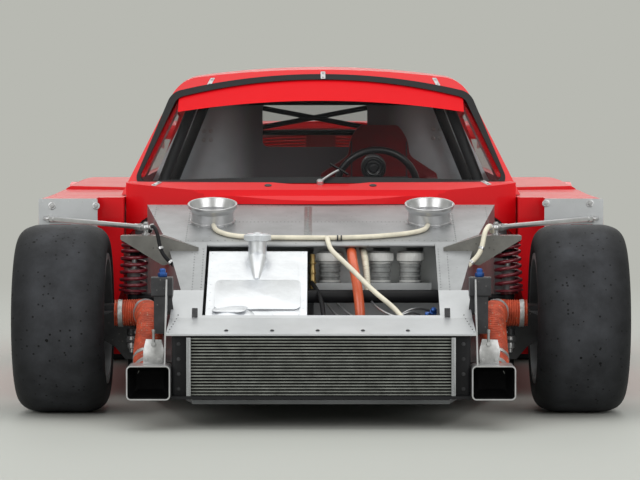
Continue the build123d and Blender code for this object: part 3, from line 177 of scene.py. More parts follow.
@shared
def mottle(name):
    """Two colours clouded together."""
    tree, start, end = group(name, {"Base": None, "Tint": None, "Scale": 6.0, "Amount": 0.5}, {"Color": "Color"})
    noise = node(tree, "TexNoise", {"Vector": surface_point(tree), "Scale": start["Scale"]}, Detail=6.0,
                 Roughness=0.62)
    spread = node(tree, "MapRange", {"Value": noise.outputs["Fac"]}, From_Min=0.35, From_Max=0.65)
    cloud = node(tree, "Math", {0: spread.outputs["Result"], 1: start["Amount"]}, operation="MULTIPLY")
    mix = node(tree, "Mix", {"Factor": cloud.outputs[0], "A": start["Base"], "B": start["Tint"]}, data_type="RGBA")
    tree.links.new(mix.outputs["Result"], end["Color"])
    return tree


@shared
def grain(name):
    """Fine noise drawn out along one axis, as on brushed or rolled metal."""
    tree, start, end = group(name, {"Stretch": (1.0, 1.0, 1.0), "Scale": 200.0, "Low": 0.3, "High": 0.5},
                             {"Value": "Float", "Height": "Float"})
    drawn = node(tree, "VectorMath", {0: surface_point(tree), 1: start["Stretch"]}, operation="MULTIPLY")
    noise = node(tree, "TexNoise", {"Vector": drawn.outputs[0], "Scale": start["Scale"]}, Detail=4.0, Roughness=0.6)
    band = node(tree, "MapRange", {"Value": noise.outputs["Fac"], "To Min": start["Low"], "To Max": start["High"]})
    tree.links.new(band.outputs["Result"], end["Value"])
    tree.links.new(noise.outputs["Fac"], end["Height"])
    return tree


@shared
def speck(name):
    """Scattered small spots, as a mask: pits in rubber, chips in paint, dust."""
    tree, start, end = group(name, {"Scale": 40.0, "Size": 0.12, "Share": 0.3}, {"Mask": "Float"})
    cells = node(tree, "TexVoronoi", {"Vector": surface_point(tree), "Scale": start["Scale"]})
    split = node(tree, "SeparateColor", {0: cells.outputs["Color"]})
    inside = node(tree, "Math", {0: cells.outputs["Distance"], 1: start["Size"]}, operation="LESS_THAN")
    chosen = node(tree, "Math", {0: split.outputs[0], 1: start["Share"]}, operation="LESS_THAN")
    both = node(tree, "Math", {0: inside.outputs[0], 1: chosen.outputs[0]}, operation="MULTIPLY")
    tree.links.new(both.outputs[0], end["Mask"])
    return tree


def place_group(tree, source, **values):
    """Places a node group with its values, and gives its first output."""
    made = tree.nodes.new("ShaderNodeGroup")
    made.node_tree = source
    for key, value in values.items():
        made.inputs[key].default_value = value
    return made.outputs[0]


# Materials
def rgba(tone):
    return (*tone, 1.0)


def shaded(tone, share):
    return tuple(min(1.0, value * share) for value in tone)


def settled(value):
    """A tone or an amount: written out, a setting by its name, or a setting and a share of it."""
    if isinstance(value, str):
        value = getattr(finish(), value)
        return value if isinstance(value, float) else tuple(value)
    if isinstance(value, tuple) and isinstance(value[0], str):
        return shaded(settled(value[0]), value[1])
    return value


def principled(name, **values):
    """A new material with its Principled shader, whose plain values are set on its own sockets."""
    material = bpy.data.materials.new(name)
    material.use_nodes = True
    tree = material.node_tree
    shader = tree.nodes["Principled BSDF"]
    for key, value in values.items():
        shader.inputs[key.replace("_", " ")].default_value = settled(value)
    return material, tree, shader


def clouded(tree, tone, share, scale, cloud):
    """A tone clouded with another, given whole or as a share of it."""
    tint = share if isinstance(share, tuple) else shaded(tone, share)
    return place_group(tree, mottle(), Base=rgba(tone), Tint=rgba(tint), Scale=scale, Amount=cloud)


def spotted(tree, scale, size, share):
    return place_group(tree, speck(), Scale=scale, Size=size, Share=share)


def grained(tree, shader, scale, stretch, low, high, strength=0.0, distance=0.0):
    """Roughness that varies along a grain, with a fine bump if a strength is given."""
    value = place_group(tree, grain(), Scale=scale, Stretch=stretch, Low=low, High=high)
    tree.links.new(value, shader.inputs["Roughness"])
    if strength:
        bump = node(tree, "Bump", {"Height": value.node.outputs["Height"]}, Strength=strength, Distance=distance)
        tree.links.new(bump.outputs["Normal"], shader.inputs["Normal"])


def mixed(tree, mask, first, second):
    """A colour socket and a tone or another socket, mixed by a mask."""
    tone = isinstance(second, tuple)
    mix = node(tree, "Mix", {"Factor": mask, "A": first} if tone else {"Factor": mask, "A": first, "B": second},
               data_type="RGBA")
    if tone:
        mix.inputs["B"].default_value = rgba(second)
    return mix.outputs["Result"]


def span_mask(tree, axis, low, high):
    """A mask over the size of one object coordinate: 0 at the low value and 1 at the high one."""
    split = node(tree, "SeparateXYZ", {0: surface_point(tree)})
    size = node(tree, "Math", {0: split.outputs[axis]}, operation="ABSOLUTE")
    return node(tree, "MapRange", {"Value": size.outputs[0]}, interpolation_type="SMOOTHSTEP", From_Min=low,
                From_Max=high).outputs["Result"]


def stock(tone, clouds, roughness, spots=None, **values):
    """A plain finish: its tone; the darker share, scale and amount of its clouds; the scale, stretch,
    lowest and highest value of its roughness, then a bump's strength and distance; the scale, size,
    share and tone of its spots; and values on the shader's own sockets."""
    return tone, clouds, roughness, spots, values


EVEN = (1, 1, 1)
STOCK = {
    "red_paint": stock("body_red", (0.88, 1.6, 0.5), (5.0, EVEN, 0.40, 0.50), Coat_Roughness=0.07,
                       Coat_Weight="gloss", Specular_IOR_Level=0.15),
    "banner_red": stock("body_red", (0.94, 3.0, 0.5), (30.0, EVEN, 0.50, 0.62), Specular_IOR_Level=0.12),
    "sheet_metal": stock("sheet_tone", (0.72, 5.0, 0.9), (60.0, (1, 9, 1), 0.36, 0.56, 0.05, 0.0008),
                         (60.0, 0.16, 0.16, ("sheet_tone", 0.62)), Metallic=0.8),
    # A lit copy of the deck's sheet, 1.35 times lighter: painted light, as on the bay wall in the deck's shade.
    "fresh_sheet": stock(("sheet_tone", 1.35), (0.84, 5.0, 0.8), (60.0, (9, 1, 1), 0.34, 0.52, 0.05, 0.0008),
                         Metallic=0.7),
    # A darker, less metallic copy of the sheet: painted shade, on the floor pan under the car.
    "dim_sheet": stock((0.27, 0.28, 0.29), (0.5, 3.0, 0.9), (60.0, (1, 9, 1), 0.40, 0.60, 0.05, 0.0008),
                       Metallic=0.45),
    "rivet_metal": stock((0.30, 0.31, 0.31), (0.6, 90.0, 0.7), (500.0, EVEN, 0.30, 0.48), Metallic=0.7),
    "cover_metal": stock("cover_tone", (0.84, 16.0, 0.7), (52.0, EVEN, 0.24, 0.44, 0.30, 0.003), Metallic=0.75),
    "bracket_metal": stock("bracket_tone", (0.62, 14.0, 0.8), (120.0, EVEN, 0.32, 0.52, 0.06, 0.0006),
                           (70.0, 0.2, 0.2, ("bracket_tone", 0.5)), Metallic=0.55),
    "plated_metal": stock((0.50, 0.50, 0.50), (0.55, 30.0, 0.8), (90.0, EVEN, 0.28, 0.46, 0.05, 0.0005),
                          Metallic=0.85),
    "machined_metal": stock((0.60, 0.60, 0.61), (0.7, 20.0, 0.6), (160.0, (1, 6, 6), 0.22, 0.40, 0.03, 0.0004),
                            Metallic=0.85),
    "wheel_metal": stock((0.42, 0.43, 0.44), (0.75, 12.0, 0.5), (150.0, EVEN, 0.26, 0.42, 0.03, 0.0004),
                         Metallic=0.75),
    "dark_metal": stock((0.060, 0.060, 0.064), (0.5, 18.0, 0.8), (130.0, EVEN, 0.34, 0.55, 0.06, 0.0006),
                        (90.0, 0.2, 0.2, (0.13, 0.125, 0.12)), Metallic=0.5),
    "blue_anodised": stock((0.035, 0.120, 0.420), (0.55, 60.0, 0.7), (300.0, EVEN, 0.22, 0.36), Metallic=0.6),
    "brass_metal": stock((0.42, 0.30, 0.12), (0.6, 50.0, 0.7), (240.0, EVEN, 0.26, 0.42), Metallic=0.8),
    "satin_black": stock((0.008, 0.008, 0.009), (1.8, 9.0, 0.6), (240.0, EVEN, 0.38, 0.60, 0.05, 0.0005),
                         Specular_IOR_Level=0.22),
    # Near black, used as painted shade inside the brake intakes.
    "deep_black": stock((0.0035, 0.0035, 0.004), (2.2, 12.0, 0.6), (200.0, EVEN, 0.62, 0.8),
                        Specular_IOR_Level=0.15),
    "spring_paint": stock("spring_red", (0.7, 30.0, 0.5), (300.0, EVEN, 0.26, 0.42), Coat_Weight=0.5,
                          Coat_Roughness=0.15),
    "duct_cloth": stock("duct_orange", (0.42, 34.0, 0.9), (500.0, EVEN, 0.5, 0.72, 0.25, 0.0009),
                        (120.0, 0.30, 0.25, (0.40, 0.20, 0.13))),
    "tape_metal": stock((0.52, 0.52, 0.51), (0.55, 55.0, 0.8), (140.0, EVEN, 0.26, 0.5, 0.25, 0.001),
                        Metallic=0.5),
    "cream_hose": stock("hose_cream", (0.72, 16.0, 0.8), (300.0, EVEN, 0.34, 0.52, 0.05, 0.0004),
                        Coat_Weight=0.25, Coat_Roughness=0.2),
    "orange_hose": stock((0.74, 0.13, 0.045), (0.72, 22.0, 0.7), (300.0, EVEN, 0.26, 0.42, 0.05, 0.0004),
                         Coat_Weight=0.3),
    "white_plastic": stock((0.72, 0.72, 0.69), (0.84, 22.0, 0.7), (200.0, EVEN, 0.34, 0.52), Coat_Weight=0.15),
    "smoked_plastic": stock((0.36, 0.37, 0.36), (0.5, 30.0, 0.9), (200.0, EVEN, 0.28, 0.46), Coat_Weight=0.3),
    "seat_cloth": stock((0.24, 0.005, 0.012), (0.55, 40.0, 0.8), (900.0, EVEN, 0.8, 0.95, 0.4, 0.001),
                        Sheen_Weight=0.3),
    "belt_web": stock((0.020, 0.020, 0.024), (1.9, 60.0, 0.7), (600.0, (1, 1, 8), 0.62, 0.82, 0.4, 0.0008),
                      Sheen_Weight=0.2),
    "grip_leather": stock((0.020, 0.020, 0.022), (0.6, 50.0, 0.7), (260.0, EVEN, 0.30, 0.46, 0.08, 0.0005),
                          Coat_Weight=0.25),
    "soft_rubber": stock((0.007, 0.007, 0.008), (1.9, 25.0, 0.5), (350.0, EVEN, 0.44, 0.64, 0.05, 0.0004),
                         Specular_IOR_Level=0.2),
    "dial_face": stock((0.62, 0.62, 0.58), (0.85, 60.0, 0.5), (200.0, EVEN, 0.2, 0.3), Coat_Weight=0.8),
    "lamp_red": stock((0.42, 0.004, 0.006), (0.7, 30.0, 0.5), (120.0, EVEN, 0.2, 0.35), Coat_Weight=0.8),
}


def plain_finish(name, tone, clouds, roughness, spots, values):
    _, tree, shader = principled(name, **values)
    colours = clouded(tree, settled(tone), *clouds)
    if spots:
        colours = mixed(tree, spotted(tree, *spots[:3]), colours, settled(spots[3]))
    tree.links.new(colours, shader.inputs["Base Color"])
    grained(tree, shader, *roughness)


PAINTED_SHADE_FADE = (0.40, 0.24)  # distances from the middle over which the bulkhead's painted shade comes in


def bulkhead_sheet(name):
    """The bare sheet behind the seats: bright at its sides as a painted reflection, with painted shade in the middle.
    """
    _, tree, shader = principled(name, Metallic=0.35)
    bare = clouded(tree, (0.78, 0.85, 0.88), (0.50, 0.54, 0.56), 3.0, 0.8)
    # Painted light: the bright sides stand in for reflections in the metal, and the dark middle is painted shade.
    painted_shade_middle = mixed(tree, span_mask(tree, "X", *PAINTED_SHADE_FADE), bare, (0.15, 0.14, 0.15))
    tree.links.new(painted_shade_middle, shader.inputs["Base Color"])
    grained(tree, shader, 60.0, (1, 9, 1), 0.36, 0.54, 0.05, 0.0008)


TREAD_FADE = (0.02, -0.05)  # from the edge of the worn tread, outwards and inwards


def slick(name, middle, half):
    """Slick rubber: dull grey where the tread has run, blacker towards its edges, with pits and pick-up."""
    tone = settled("tyre_black")
    _, tree, shader = principled(name, Specular_IOR_Level=0.2)
    worn = clouded(tree, shaded(tone, 3.0), shaded(tone, 1.3), 9.0, 0.9)
    fresh = clouded(tree, shaded(tone, 1.3), shaded(tone, 0.6), 16.0, 0.8)
    edges = [span_mask(tree, "X", *(middle + sign * (half + fade) for fade in TREAD_FADE)) for sign in SIGNS]
    tread = node(tree, "Math", dict(enumerate(edges)), operation="MULTIPLY")
    rubber = mixed(tree, tread.outputs[0], fresh, worn)
    pitted = mixed(tree, spotted(tree, 15.0, 0.085, 0.55), rubber, shaded(tone, 0.10))
    gritty = mixed(tree, spotted(tree, 58.0, 0.20, 0.35), pitted, shaded(tone, 0.35))
    tree.links.new(gritty, shader.inputs["Base Color"])
    grained(tree, shader, 420.0, EVEN, 0.52, 0.76, 0.25, 0.0013)


FIN_SHADE_DEPTHS = (0.0005, 0.0085)  # depths over which painted shade darkens the radiator's fins


def core_metal(name):
    """Bare fin tips over fins painted darker with depth, as painted shade in the gaps between them."""
    _, tree, shader = principled(name, Metallic=0.3)
    front = -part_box("radiator_core")[0][1]
    tips = clouded(tree, (0.235, 0.245, 0.22), (0.13, 0.135, 0.12), 26.0, 0.9)
    # Painted shade: the fins turn near black deeper in, between the tips.
    depth = span_mask(tree, "Y", *(front - fade for fade in FIN_SHADE_DEPTHS))
    tree.links.new(mixed(tree, depth, tips, (0.006, 0.006, 0.006)), shader.inputs["Base Color"])
    grained(tree, shader, 500.0, EVEN, 0.45, 0.65, 0.15, 0.0006)


def clear_glass(name):
    """Thin glass: a dark tint that lets most light past, less towards its edge."""
    _, tree, shader = principled(name, IOR=1.45, Specular_IOR_Level=0.10, Base_Color=rgba((0.006, 0.007, 0.007)))
    tilt = node(tree, "LayerWeight", Blend=0.35)
    spread = node(tree, "MapRange", {"Value": tilt.outputs["Facing"]}, To_Min=0.03, To_Max=0.32)
    tree.links.new(spread.outputs["Result"], shader.inputs["Alpha"])
    grained(tree, shader, 3.0, EVEN, 0.10, 0.16)


FRONT_TREAD, REAR_TREAD = 0.100, 0.120  # half widths of the worn treads


def front_slick(name):
    slick(name, FRONT_HUB.x, FRONT_TREAD)


def rear_slick(name):
    slick(name, REAR_HUB.x, REAR_TREAD)


OWN_SHADERS = {"bulkhead_sheet": bulkhead_sheet, "core_metal": core_metal, "clear_glass": clear_glass,
               "front_slick": front_slick, "rear_slick": rear_slick}


def car_material(name):
    """The material of a finish, made once."""
    label = "car_" + name
    if label not in bpy.data.materials:
        if name in OWN_SHADERS:
            OWN_SHADERS[name](label)
        else:
            plain_finish(label, *STOCK[name])
    return bpy.data.materials[label]


NODE_FINISHES = {
    "red_paint": ("cabin_shell", "cowl", "front_fender_backs", "door_left", "door_right", "tail_body",
                  "engine_lid", "rear_wing"),
    "sheet_metal": ("nose_tub", "front_deck"),
    "fresh_sheet": ("front_shelf", "fender_plates", "bay_wall"),
    "bulkhead_sheet": ("rear_bulkhead",),
    "dim_sheet": ("floor_pan",),
    "cover_metal": ("tank_cover",),
    "machined_metal": ("fuel_fillers", "brake_intakes", "fender_struts", "exhausts"),
    "wheel_metal": ("wheel_front_left", "wheel_front_right", "wheel_rear_left", "wheel_rear_right"),
    "bracket_metal": ("spring_towers",),
    "dark_metal": ("jack_posts", "knuckle_left", "knuckle_right", "rack_housing", "rack_and_tie_rods",
                   "drive_shafts", "engine", "rear_hub_carriers"),
    "satin_black": ("front_wishbones", "cross_tube", "roll_cage", "dashboard", "radiator_frame"),
    "grip_leather": ("steering_wheel",),
    "spring_paint": ("front_coilovers", "rear_coilovers"),
    "front_slick": ("tyre_front_left", "tyre_front_right"),
    "rear_slick": ("tyre_rear_left", "tyre_rear_right"),
    "duct_cloth": ("brake_hose_left", "brake_hose_right"),
    "orange_hose": ("coolant_hose",),
    "cream_hose": ("vent_hoses",),
    "smoked_plastic": ("reservoirs",),
    "seat_cloth": ("seat",),
    "soft_rubber": ("windscreen_seal",),
    "core_metal": ("radiator_core",),
    "clear_glass": ("windscreen", "rear_glass", "door_glass_left", "door_glass_right"),
    "lamp_red": ("tail_lamps",),
}


# Shapes
def aimed(place, direction, turn=0.0):
    """A matrix at a place whose Z runs along a direction."""
    spin = Vector(direction).to_track_quat("Z", "Y").to_matrix().to_4x4()
    return Matrix.Translation(Vector(place)) @ spin @ Matrix.Rotation(turn, 4, "Z")


def facing(place, normal, turn=0.0):
    """A matrix on a surface: Z runs along its normal, and Y leans as far up as it can before the turn."""
    out = Vector(normal).normalized()
    up = (Vector(UP) - out * out.z) if abs(out.z) < 0.99 else Vector(BACK)
    up.normalize()
    spin = Matrix((up.cross(out), up, out)).transposed().to_4x4()
    return Matrix.Translation(Vector(place)) @ spin @ Matrix.Rotation(turn, 4, "Z")


def shifted(where, x, y, z):
    return where @ Matrix.Translation((x, y, z))


def spread(first, last, count):
    """Numbers spaced evenly from the first to the last."""
    return [first + (last - first) * step / (count - 1) for step in range(count)]


def paced(first, last, pitch):
    """Numbers a pitch apart from the first, up to the last."""
    return [first + step * pitch for step in range(int((last - first) / pitch) + 1)]


def circle(count, radius, phase=0.0):
    """Points spaced evenly on a circle, as (X, Y); the phase is a share of their spacing."""
    angles = [2 * math.pi * (step + phase) / count for step in range(count)]
    return [(radius * math.cos(angle), radius * math.sin(angle)) for angle in angles]


def bridge(bm, low, high, slot=0):
    """Faces between two rings, either of which may be a single point."""
    count = max(len(low), len(high))
    for near in range(count):
        far = (near + 1) % count
        if len(low) == 1:
            corners = (low[0], high[far], high[near])
        elif len(high) == 1:
            corners = (low[near], low[far], high[0])
        else:
            corners = (low[near], low[far], high[far], high[near])
        bm.faces.new(corners).material_index = slot


def bridge_all(bm, rings, slot=0):
    """Faces between all the rings, with both ends closed."""
    for low, high in zip(rings, rings[1:]):
        bridge(bm, low, high, slot)
    for ring in (rings[0][::-1], rings[-1]):
        if len(ring) > 1:
            bm.faces.new(ring).material_index = slot


def add_turned(bm, profile, where, sides=20, slot=0):
    """Revolves (radius, height) points about a matrix's Z and closes both ends."""
    rings = [[bm.verts.new(where @ Vector((x, y, height))) for x, y in circle(sides if radius else 1, radius)]
             for radius, height in profile]
    bridge_all(bm, rings, slot)


def collar(radius, half, cut, edge):
    """The profile of a short band whose ends are cut back to a smaller radius."""
    return (cut, -half), (radius, edge - half), (radius, half - edge), (cut, half)


def add_studs(bm, where, count, radius, height, profile, sides=6, phase=0.0):
    """Repeats a small turned shape round a matrix's Z."""
    for x, y in circle(count, radius, phase):
        add_turned(bm, profile, shifted(where, x, y, height), sides)


def add_tube(bm, points, radius, sides=12, slot=0):
    """A round tube along points; its radius may depend on the distance along it and the angle."""
    along, side, rings = 0.0, None, []
    for index, point in enumerate(points):
        before, after = points[max(index - 1, 0)], points[min(index + 1, len(points) - 1)]
        run = (after - before).normalized()
        if side is None:
            side = run.orthogonal().normalized()
        else:
            side = (side - run * side.dot(run)).normalized()
            along += (point - points[index - 1]).length
        other = run.cross(side)
        ring = []
        for step in range(sides):
            angle = 2 * math.pi * step / sides
            reach = radius(along, angle) if callable(radius) else radius
            ring.append(bm.verts.new(point + (side * math.cos(angle) + other * math.sin(angle)) * reach))
        rings.append(ring)
    bridge_all(bm, rings, slot)


def add_plate(bm, outline, where, thickness, bevel=0.0):
    """Gives an (X, Y) outline a thickness along a matrix's Z and rounds its edges."""
    part = bmesh.new()
    bridge_all(part, [[part.verts.new((x, y, z)) for x, y in outline] for z in (0.0, thickness)])
    bmesh.ops.recalc_face_normals(part, faces=part.faces[:])
    if bevel:
        bmesh.ops.bevel(part, geom=part.edges[:], offset=bevel, segments=2, affect="EDGES", profile=0.5)
    copies = {vertex: bm.verts.new(where @ vertex.co) for vertex in part.verts}
    for face in part.faces:
        bm.faces.new([copies[vertex] for vertex in face.verts])
    part.free()


def rectangle(width, height, corner, steps=4):
    """(X, Y) outline of a rectangle about the origin, its corners rounded."""
    outline = []
    for quarter, (sx, sy) in enumerate(((1, 1), (-1, 1), (-1, -1), (1, -1))):
        for step in range(steps + 1):
            angle = math.pi / 2 * (quarter + step / steps)
            outline.append((sx * (width / 2 - corner) + corner * math.cos(angle),
                            sy * (height / 2 - corner) + corner * math.sin(angle)))
    return outline


def add_rivet(bm, place, normal, radius=0.0023):
    dome = ((radius, -0.0002), (radius * 0.92, radius * 0.35), (radius * 0.55, radius * 0.62), (0.0, radius * 0.72))
    add_turned(bm, dome, aimed(place, normal), 8)


def add_bolt(bm, place, normal, size=0.006, turn=0.0):
    """Hexagon bolt head on its washer; size is half the width of the head."""
    where = aimed(place, normal, turn)
    add_turned(bm, ((size * 1.5, 0.0), (size * 1.5, size * 0.2), (size, size * 0.24)), where, 18)
    add_turned(bm, ((size * 1.1, size * 0.2), (size * 1.14, size * 0.3), (size * 1.14, size * 0.85),
                    (size * 0.95, size), (0.0, size)), where, 6)


def add_ring(bm, place, axis, radius, wire, sides=40):
    """A round bar bent into a ring about an axis."""
    where = aimed(place, axis)
    rings = []
    for x, y in circle(sides, 1.0):
        rings.append([bm.verts.new(where @ Vector((x * (radius + out), y * (radius + out), rise)))
                      for out, rise in circle(10, wire)])
    for near, far in zip(rings, rings[1:] + rings[:1]):
        bridge(bm, near, far)


def spline_path(points, resolution=16):
    """Points along the smooth NURBS curve that a route's points control."""
    curve = bpy.data.curves.new("route", "CURVE")
    curve.dimensions = "3D"
    curve.resolution_u = resolution
    spline = curve.splines.new("NURBS")
    spline.points.add(len(points) - 1)
    for control, point in zip(spline.points, points):
        control.co = (*point, 1.0)
    spline.order_u = 3
    spline.use_endpoint_u = True
    holder = bpy.data.objects.new("route", curve)
    mesh = bpy.data.meshes.new_from_object(holder)
    path = [vertex.co.copy() for vertex in mesh.vertices]
    bpy.data.objects.remove(holder)
    bpy.data.meshes.remove(mesh)
    bpy.data.curves.remove(curve)
    return path


def new_piece(name, bm, body, finishes, sharp=35.0):
    """Turns a mesh under construction into a piece that rides on a body; no body leaves it free."""
    bmesh.ops.recalc_face_normals(bm, faces=bm.faces[:])
    mesh = bpy.data.meshes.new(name)
    bm.to_mesh(mesh)
    bm.free()
    mesh.shade_smooth()
    mesh.set_sharp_from_angle(angle=math.radians(sharp))
    for item in finishes:
        mesh.materials.append(car_material(item))
    piece = bpy.data.objects.new(name, mesh)
    bpy.context.scene.collection.objects.link(piece)
    if body:
        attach(piece, body)
    return piece


@contextmanager
def piece_of(name, item, slot, body="chassis", sharp=35.0):
    """A mesh to build on, which then becomes a piece of one finish that rides on a body."""
    bm = bmesh.new()
    yield bm
    new_piece(name, bm, body, [item], sharp)


# Places on the frame
def skin(*names):
    """A search tree over the faces of some of the frame's nodes."""
    points, faces = [], []
    for name in names:
        mesh = frame["nodes"][name].data
        start = len(points)
        points += [vertex.co.copy() for vertex in mesh.vertices]
        faces += [[start + index for index in polygon.vertices] for polygon in mesh.polygons]
    return BVHTree.FromPolygons(points, faces)


def struck(tree, start, direction):
    """Where a line from a point meets a surface, with the normal towards that point; None if it misses."""
    place, normal, _, _ = tree.ray_cast(Vector(start), Vector(direction))
    if place is None:
        return None
    return place, (normal if normal.dot(Vector(direction)) < 0 else -normal)


def seen(tree, column, row):
    """Where the line of sight through a point of the photograph meets a surface, and its normal there."""
    sight = Vector(((column - PHOTO_WIDTH / 2) / FOCAL_PIXELS, 1.0, (HORIZON_ROW - row) / FOCAL_PIXELS))
    found = struck(tree, eye_point(), sight.normalized())
    if found is None:
        raise RuntimeError(f"nothing is seen at {column}, {row}")
    return found


def fasten(bm, tree, start, direction, add=add_rivet, size=0.0023, steep=0.0):
    """Adds a fastener where a line meets a surface that faces it at least so steeply."""
    found = struck(tree, start, direction)
    if found and abs(found[1].dot(Vector(direction))) >= steep:
        add(bm, *found, size)


# Studio
FOCAL_PIXELS = 3080.0
PHOTO_WIDTH = 640.0
PHOTO_HEIGHT = 480.0
HORIZON_ROW = 130.0
CENTRE_COLUMN = 321.0
SENSOR = 36.0
SHADOW_REACH = (2.6, 8.0)  # distances over which the floor turns into the background
FLOOR_RINGS = (0.02, 0.05, 0.1, 0.2, 0.35, 0.6, 1.0)  # shares of its radius
SKY_TONE = (0.95, 0.98, 1.0)
LIGHTS = [  # name, place, aim, width, depth, power
    ("overhead", (0.0, -0.6, 6.0), (0.0, -0.6, 0.0), 9.0, 9.0, 235.0),
    ("front_left", (5.0, -8.0, 3.6), (0.3, -1.2, 0.4), 6.0, 4.0, 215.0),
    ("front_right", (-5.0, -8.0, 3.6), (-0.3, -1.2, 0.4), 6.0, 4.0, 215.0),
    ("rear", (0.0, 8.0, 4.2), (0.0, 1.0, 0.5), 8.0, 4.0, 170.0),
]


def eye_point():
    distance = studio().camera_distance
    return Vector(((PHOTO_WIDTH / 2 - CENTRE_COLUMN) * distance / FOCAL_PIXELS, AXLE_Y - distance,
                   studio().camera_height))


def hung(name, data, place):
    """A camera or a lamp in the scene at a place."""
    holder = bpy.data.objects.new(name, data)
    bpy.context.scene.collection.objects.link(holder)
    holder.location = place
    return holder


def add_camera():
    camera = bpy.data.cameras.new("camera")
    camera.sensor_width = SENSOR
    camera.lens = FOCAL_PIXELS * SENSOR / PHOTO_WIDTH
    camera.clip_end = 200.0
    holder = hung("camera", camera, eye_point())
    pitch = math.atan((PHOTO_HEIGHT / 2 - HORIZON_ROW) / FOCAL_PIXELS)
    holder.rotation_euler = (math.pi / 2 - pitch, 0.0, 0.0)
    bpy.context.scene.camera = holder


def add_area_light(name, place, aim, width, depth, power):
    light = bpy.data.lights.new(name, "AREA")
    light.shape = "RECTANGLE"
    light.size, light.size_y = width, depth
    light.energy = power
    holder = hung(name, light, place)
    holder.rotation_euler = (Vector(aim) - Vector(place)).to_track_quat("-Z", "Y").to_euler()


def plain_ray(tree):
    """1 for the rays of the camera, of gloss and of glass, which see the flat background."""
    path = node(tree, "LightPath").outputs
    first = node(tree, "Math", {0: path["Is Camera Ray"], 1: path["Is Glossy Ray"]}, operation="MAXIMUM")
    return node(tree, "Math", {0: first.outputs[0], 1: path["Is Transmission Ray"]},
                operation="MAXIMUM").outputs[0]


def add_floor():
    """A floor that takes the car's shadow and turns into the flat background tone far from it."""
    bm = bmesh.new()
    rings = [[bm.verts.new((x, y, 0.0)) for x, y in circle(64, share * studio().floor_width / 2)]
             for share in FLOOR_RINGS]
    for low, high in zip(rings, rings[1:]):
        bridge(bm, low, high)
    bm.faces.new(rings[0])
    mesh = bpy.data.meshes.new("floor")
    bm.to_mesh(mesh)
    bm.free()
    tone = rgba(tuple(studio().wall_tone))
    material, tree, shader = principled("studio_floor", Roughness=0.7, Specular_IOR_Level=0.1, Base_Color=tone)
    flat = node(tree, "Emission", Color=tone)
    reach = node(tree, "VectorMath", {0: surface_point(tree)}, operation="LENGTH")
    faded = node(tree, "MapRange", {"Value": reach.outputs["Value"]}, interpolation_type="SMOOTHSTEP",
                 From_Min=SHADOW_REACH[0], From_Max=SHADOW_REACH[1])
    share = node(tree, "Math", {0: faded.outputs["Result"], 1: plain_ray(tree)}, operation="MULTIPLY")
    mix = node(tree, "MixShader", {0: share.outputs[0], 1: shader.outputs[0], 2: flat.outputs[0]})
    tree.links.new(mix.outputs[0], tree.nodes["Material Output"].inputs["Surface"])
    mesh.materials.append(material)
    hung("floor", mesh, (0.0, 0.0, 0.0))


def light_world():
    world = bpy.context.scene.world or bpy.data.worlds.new("studio")
    bpy.context.scene.world = world
    world.use_nodes = True
    tree = world.node_tree
    sky = tree.nodes["Background"]
    sky.inputs["Color"].default_value = rgba(SKY_TONE)
    sky.inputs["Strength"].default_value = studio().sky_strength
    flat = node(tree, "Background", Strength=1.0, Color=rgba(tuple(studio().wall_tone)))
    mix = node(tree, "MixShader", {0: plain_ray(tree), 1: sky.outputs[0], 2: flat.outputs[0]})
    tree.links.new(mix.outputs[0], tree.nodes["World Output"].inputs["Surface"])


class RACECAR_OT_stage(bpy.types.Operator):
    """Adds the camera, the floor and the studio lights."""
    bl_idname = "racecar.stage"
    bl_label = "Studio"

    def execute(self, context):
        context.scene.view_settings.view_transform = "Standard"
        add_camera()
        add_floor()
        light_world()
        for light in LIGHTS:
            add_area_light(*light)
        return {"FINISHED"}


class RACECAR_OT_node_finishes(bpy.types.Operator):
    """Gives each piece of the frame its own finish."""
    bl_idname = "racecar.node_finishes"
    bl_label = "Frame finishes"

    def execute(self, context):
        for item, names in NODE_FINISHES.items():
            for name in names:
                mesh = frame["nodes"][name].data
                mesh.materials.clear()
                mesh.materials.append(car_material(item))
        return {"FINISHED"}


# Nose: deck, bay and what carries the front wheels
DECK_BREAK_Z = 0.552
NOSE_SLOPE = 0.4846
DECK_SLOPE = 0.2444
SEAM_X = -0.043


def on_deck(x, station):
    """A point on the deck sheets, with their normal."""
    slope = NOSE_SLOPE if station < 0 else DECK_SLOPE
    return at(x, station, DECK_BREAK_Z + slope * station), Vector((0.0, -slope, 1.0)).normalized()


RIVET_COLUMNS = (  # X, first station, last station, pitch
    (0.407, -0.455, -0.015, 0.0165),
    (0.379, -0.440, -0.030, 0.0165),
    (0.440, 0.010, 0.420, 0.022),
    (0.556, 0.060, 0.430, 0.022),
)
RIVET_ROWS = (  # station, first X, last X, pitch
    (0.237, -0.036, 0.296, 0.0125),
    (0.237, -0.296, -0.060, 0.0125),
    (0.436, -0.540, 0.540, 0.022),
    (0.014, -0.480, 0.480, 0.024),
)


DECK_SEAM = (0.026, 0.40, 0.004)  # width, length, corner of the lap seam's strip
TUB_RIVET_Z = (0.13, 0.205, 0.28)
OUTSIDE, ABOVE = 0.9, 1.0  # where lines that look for the nose's sides and tops start


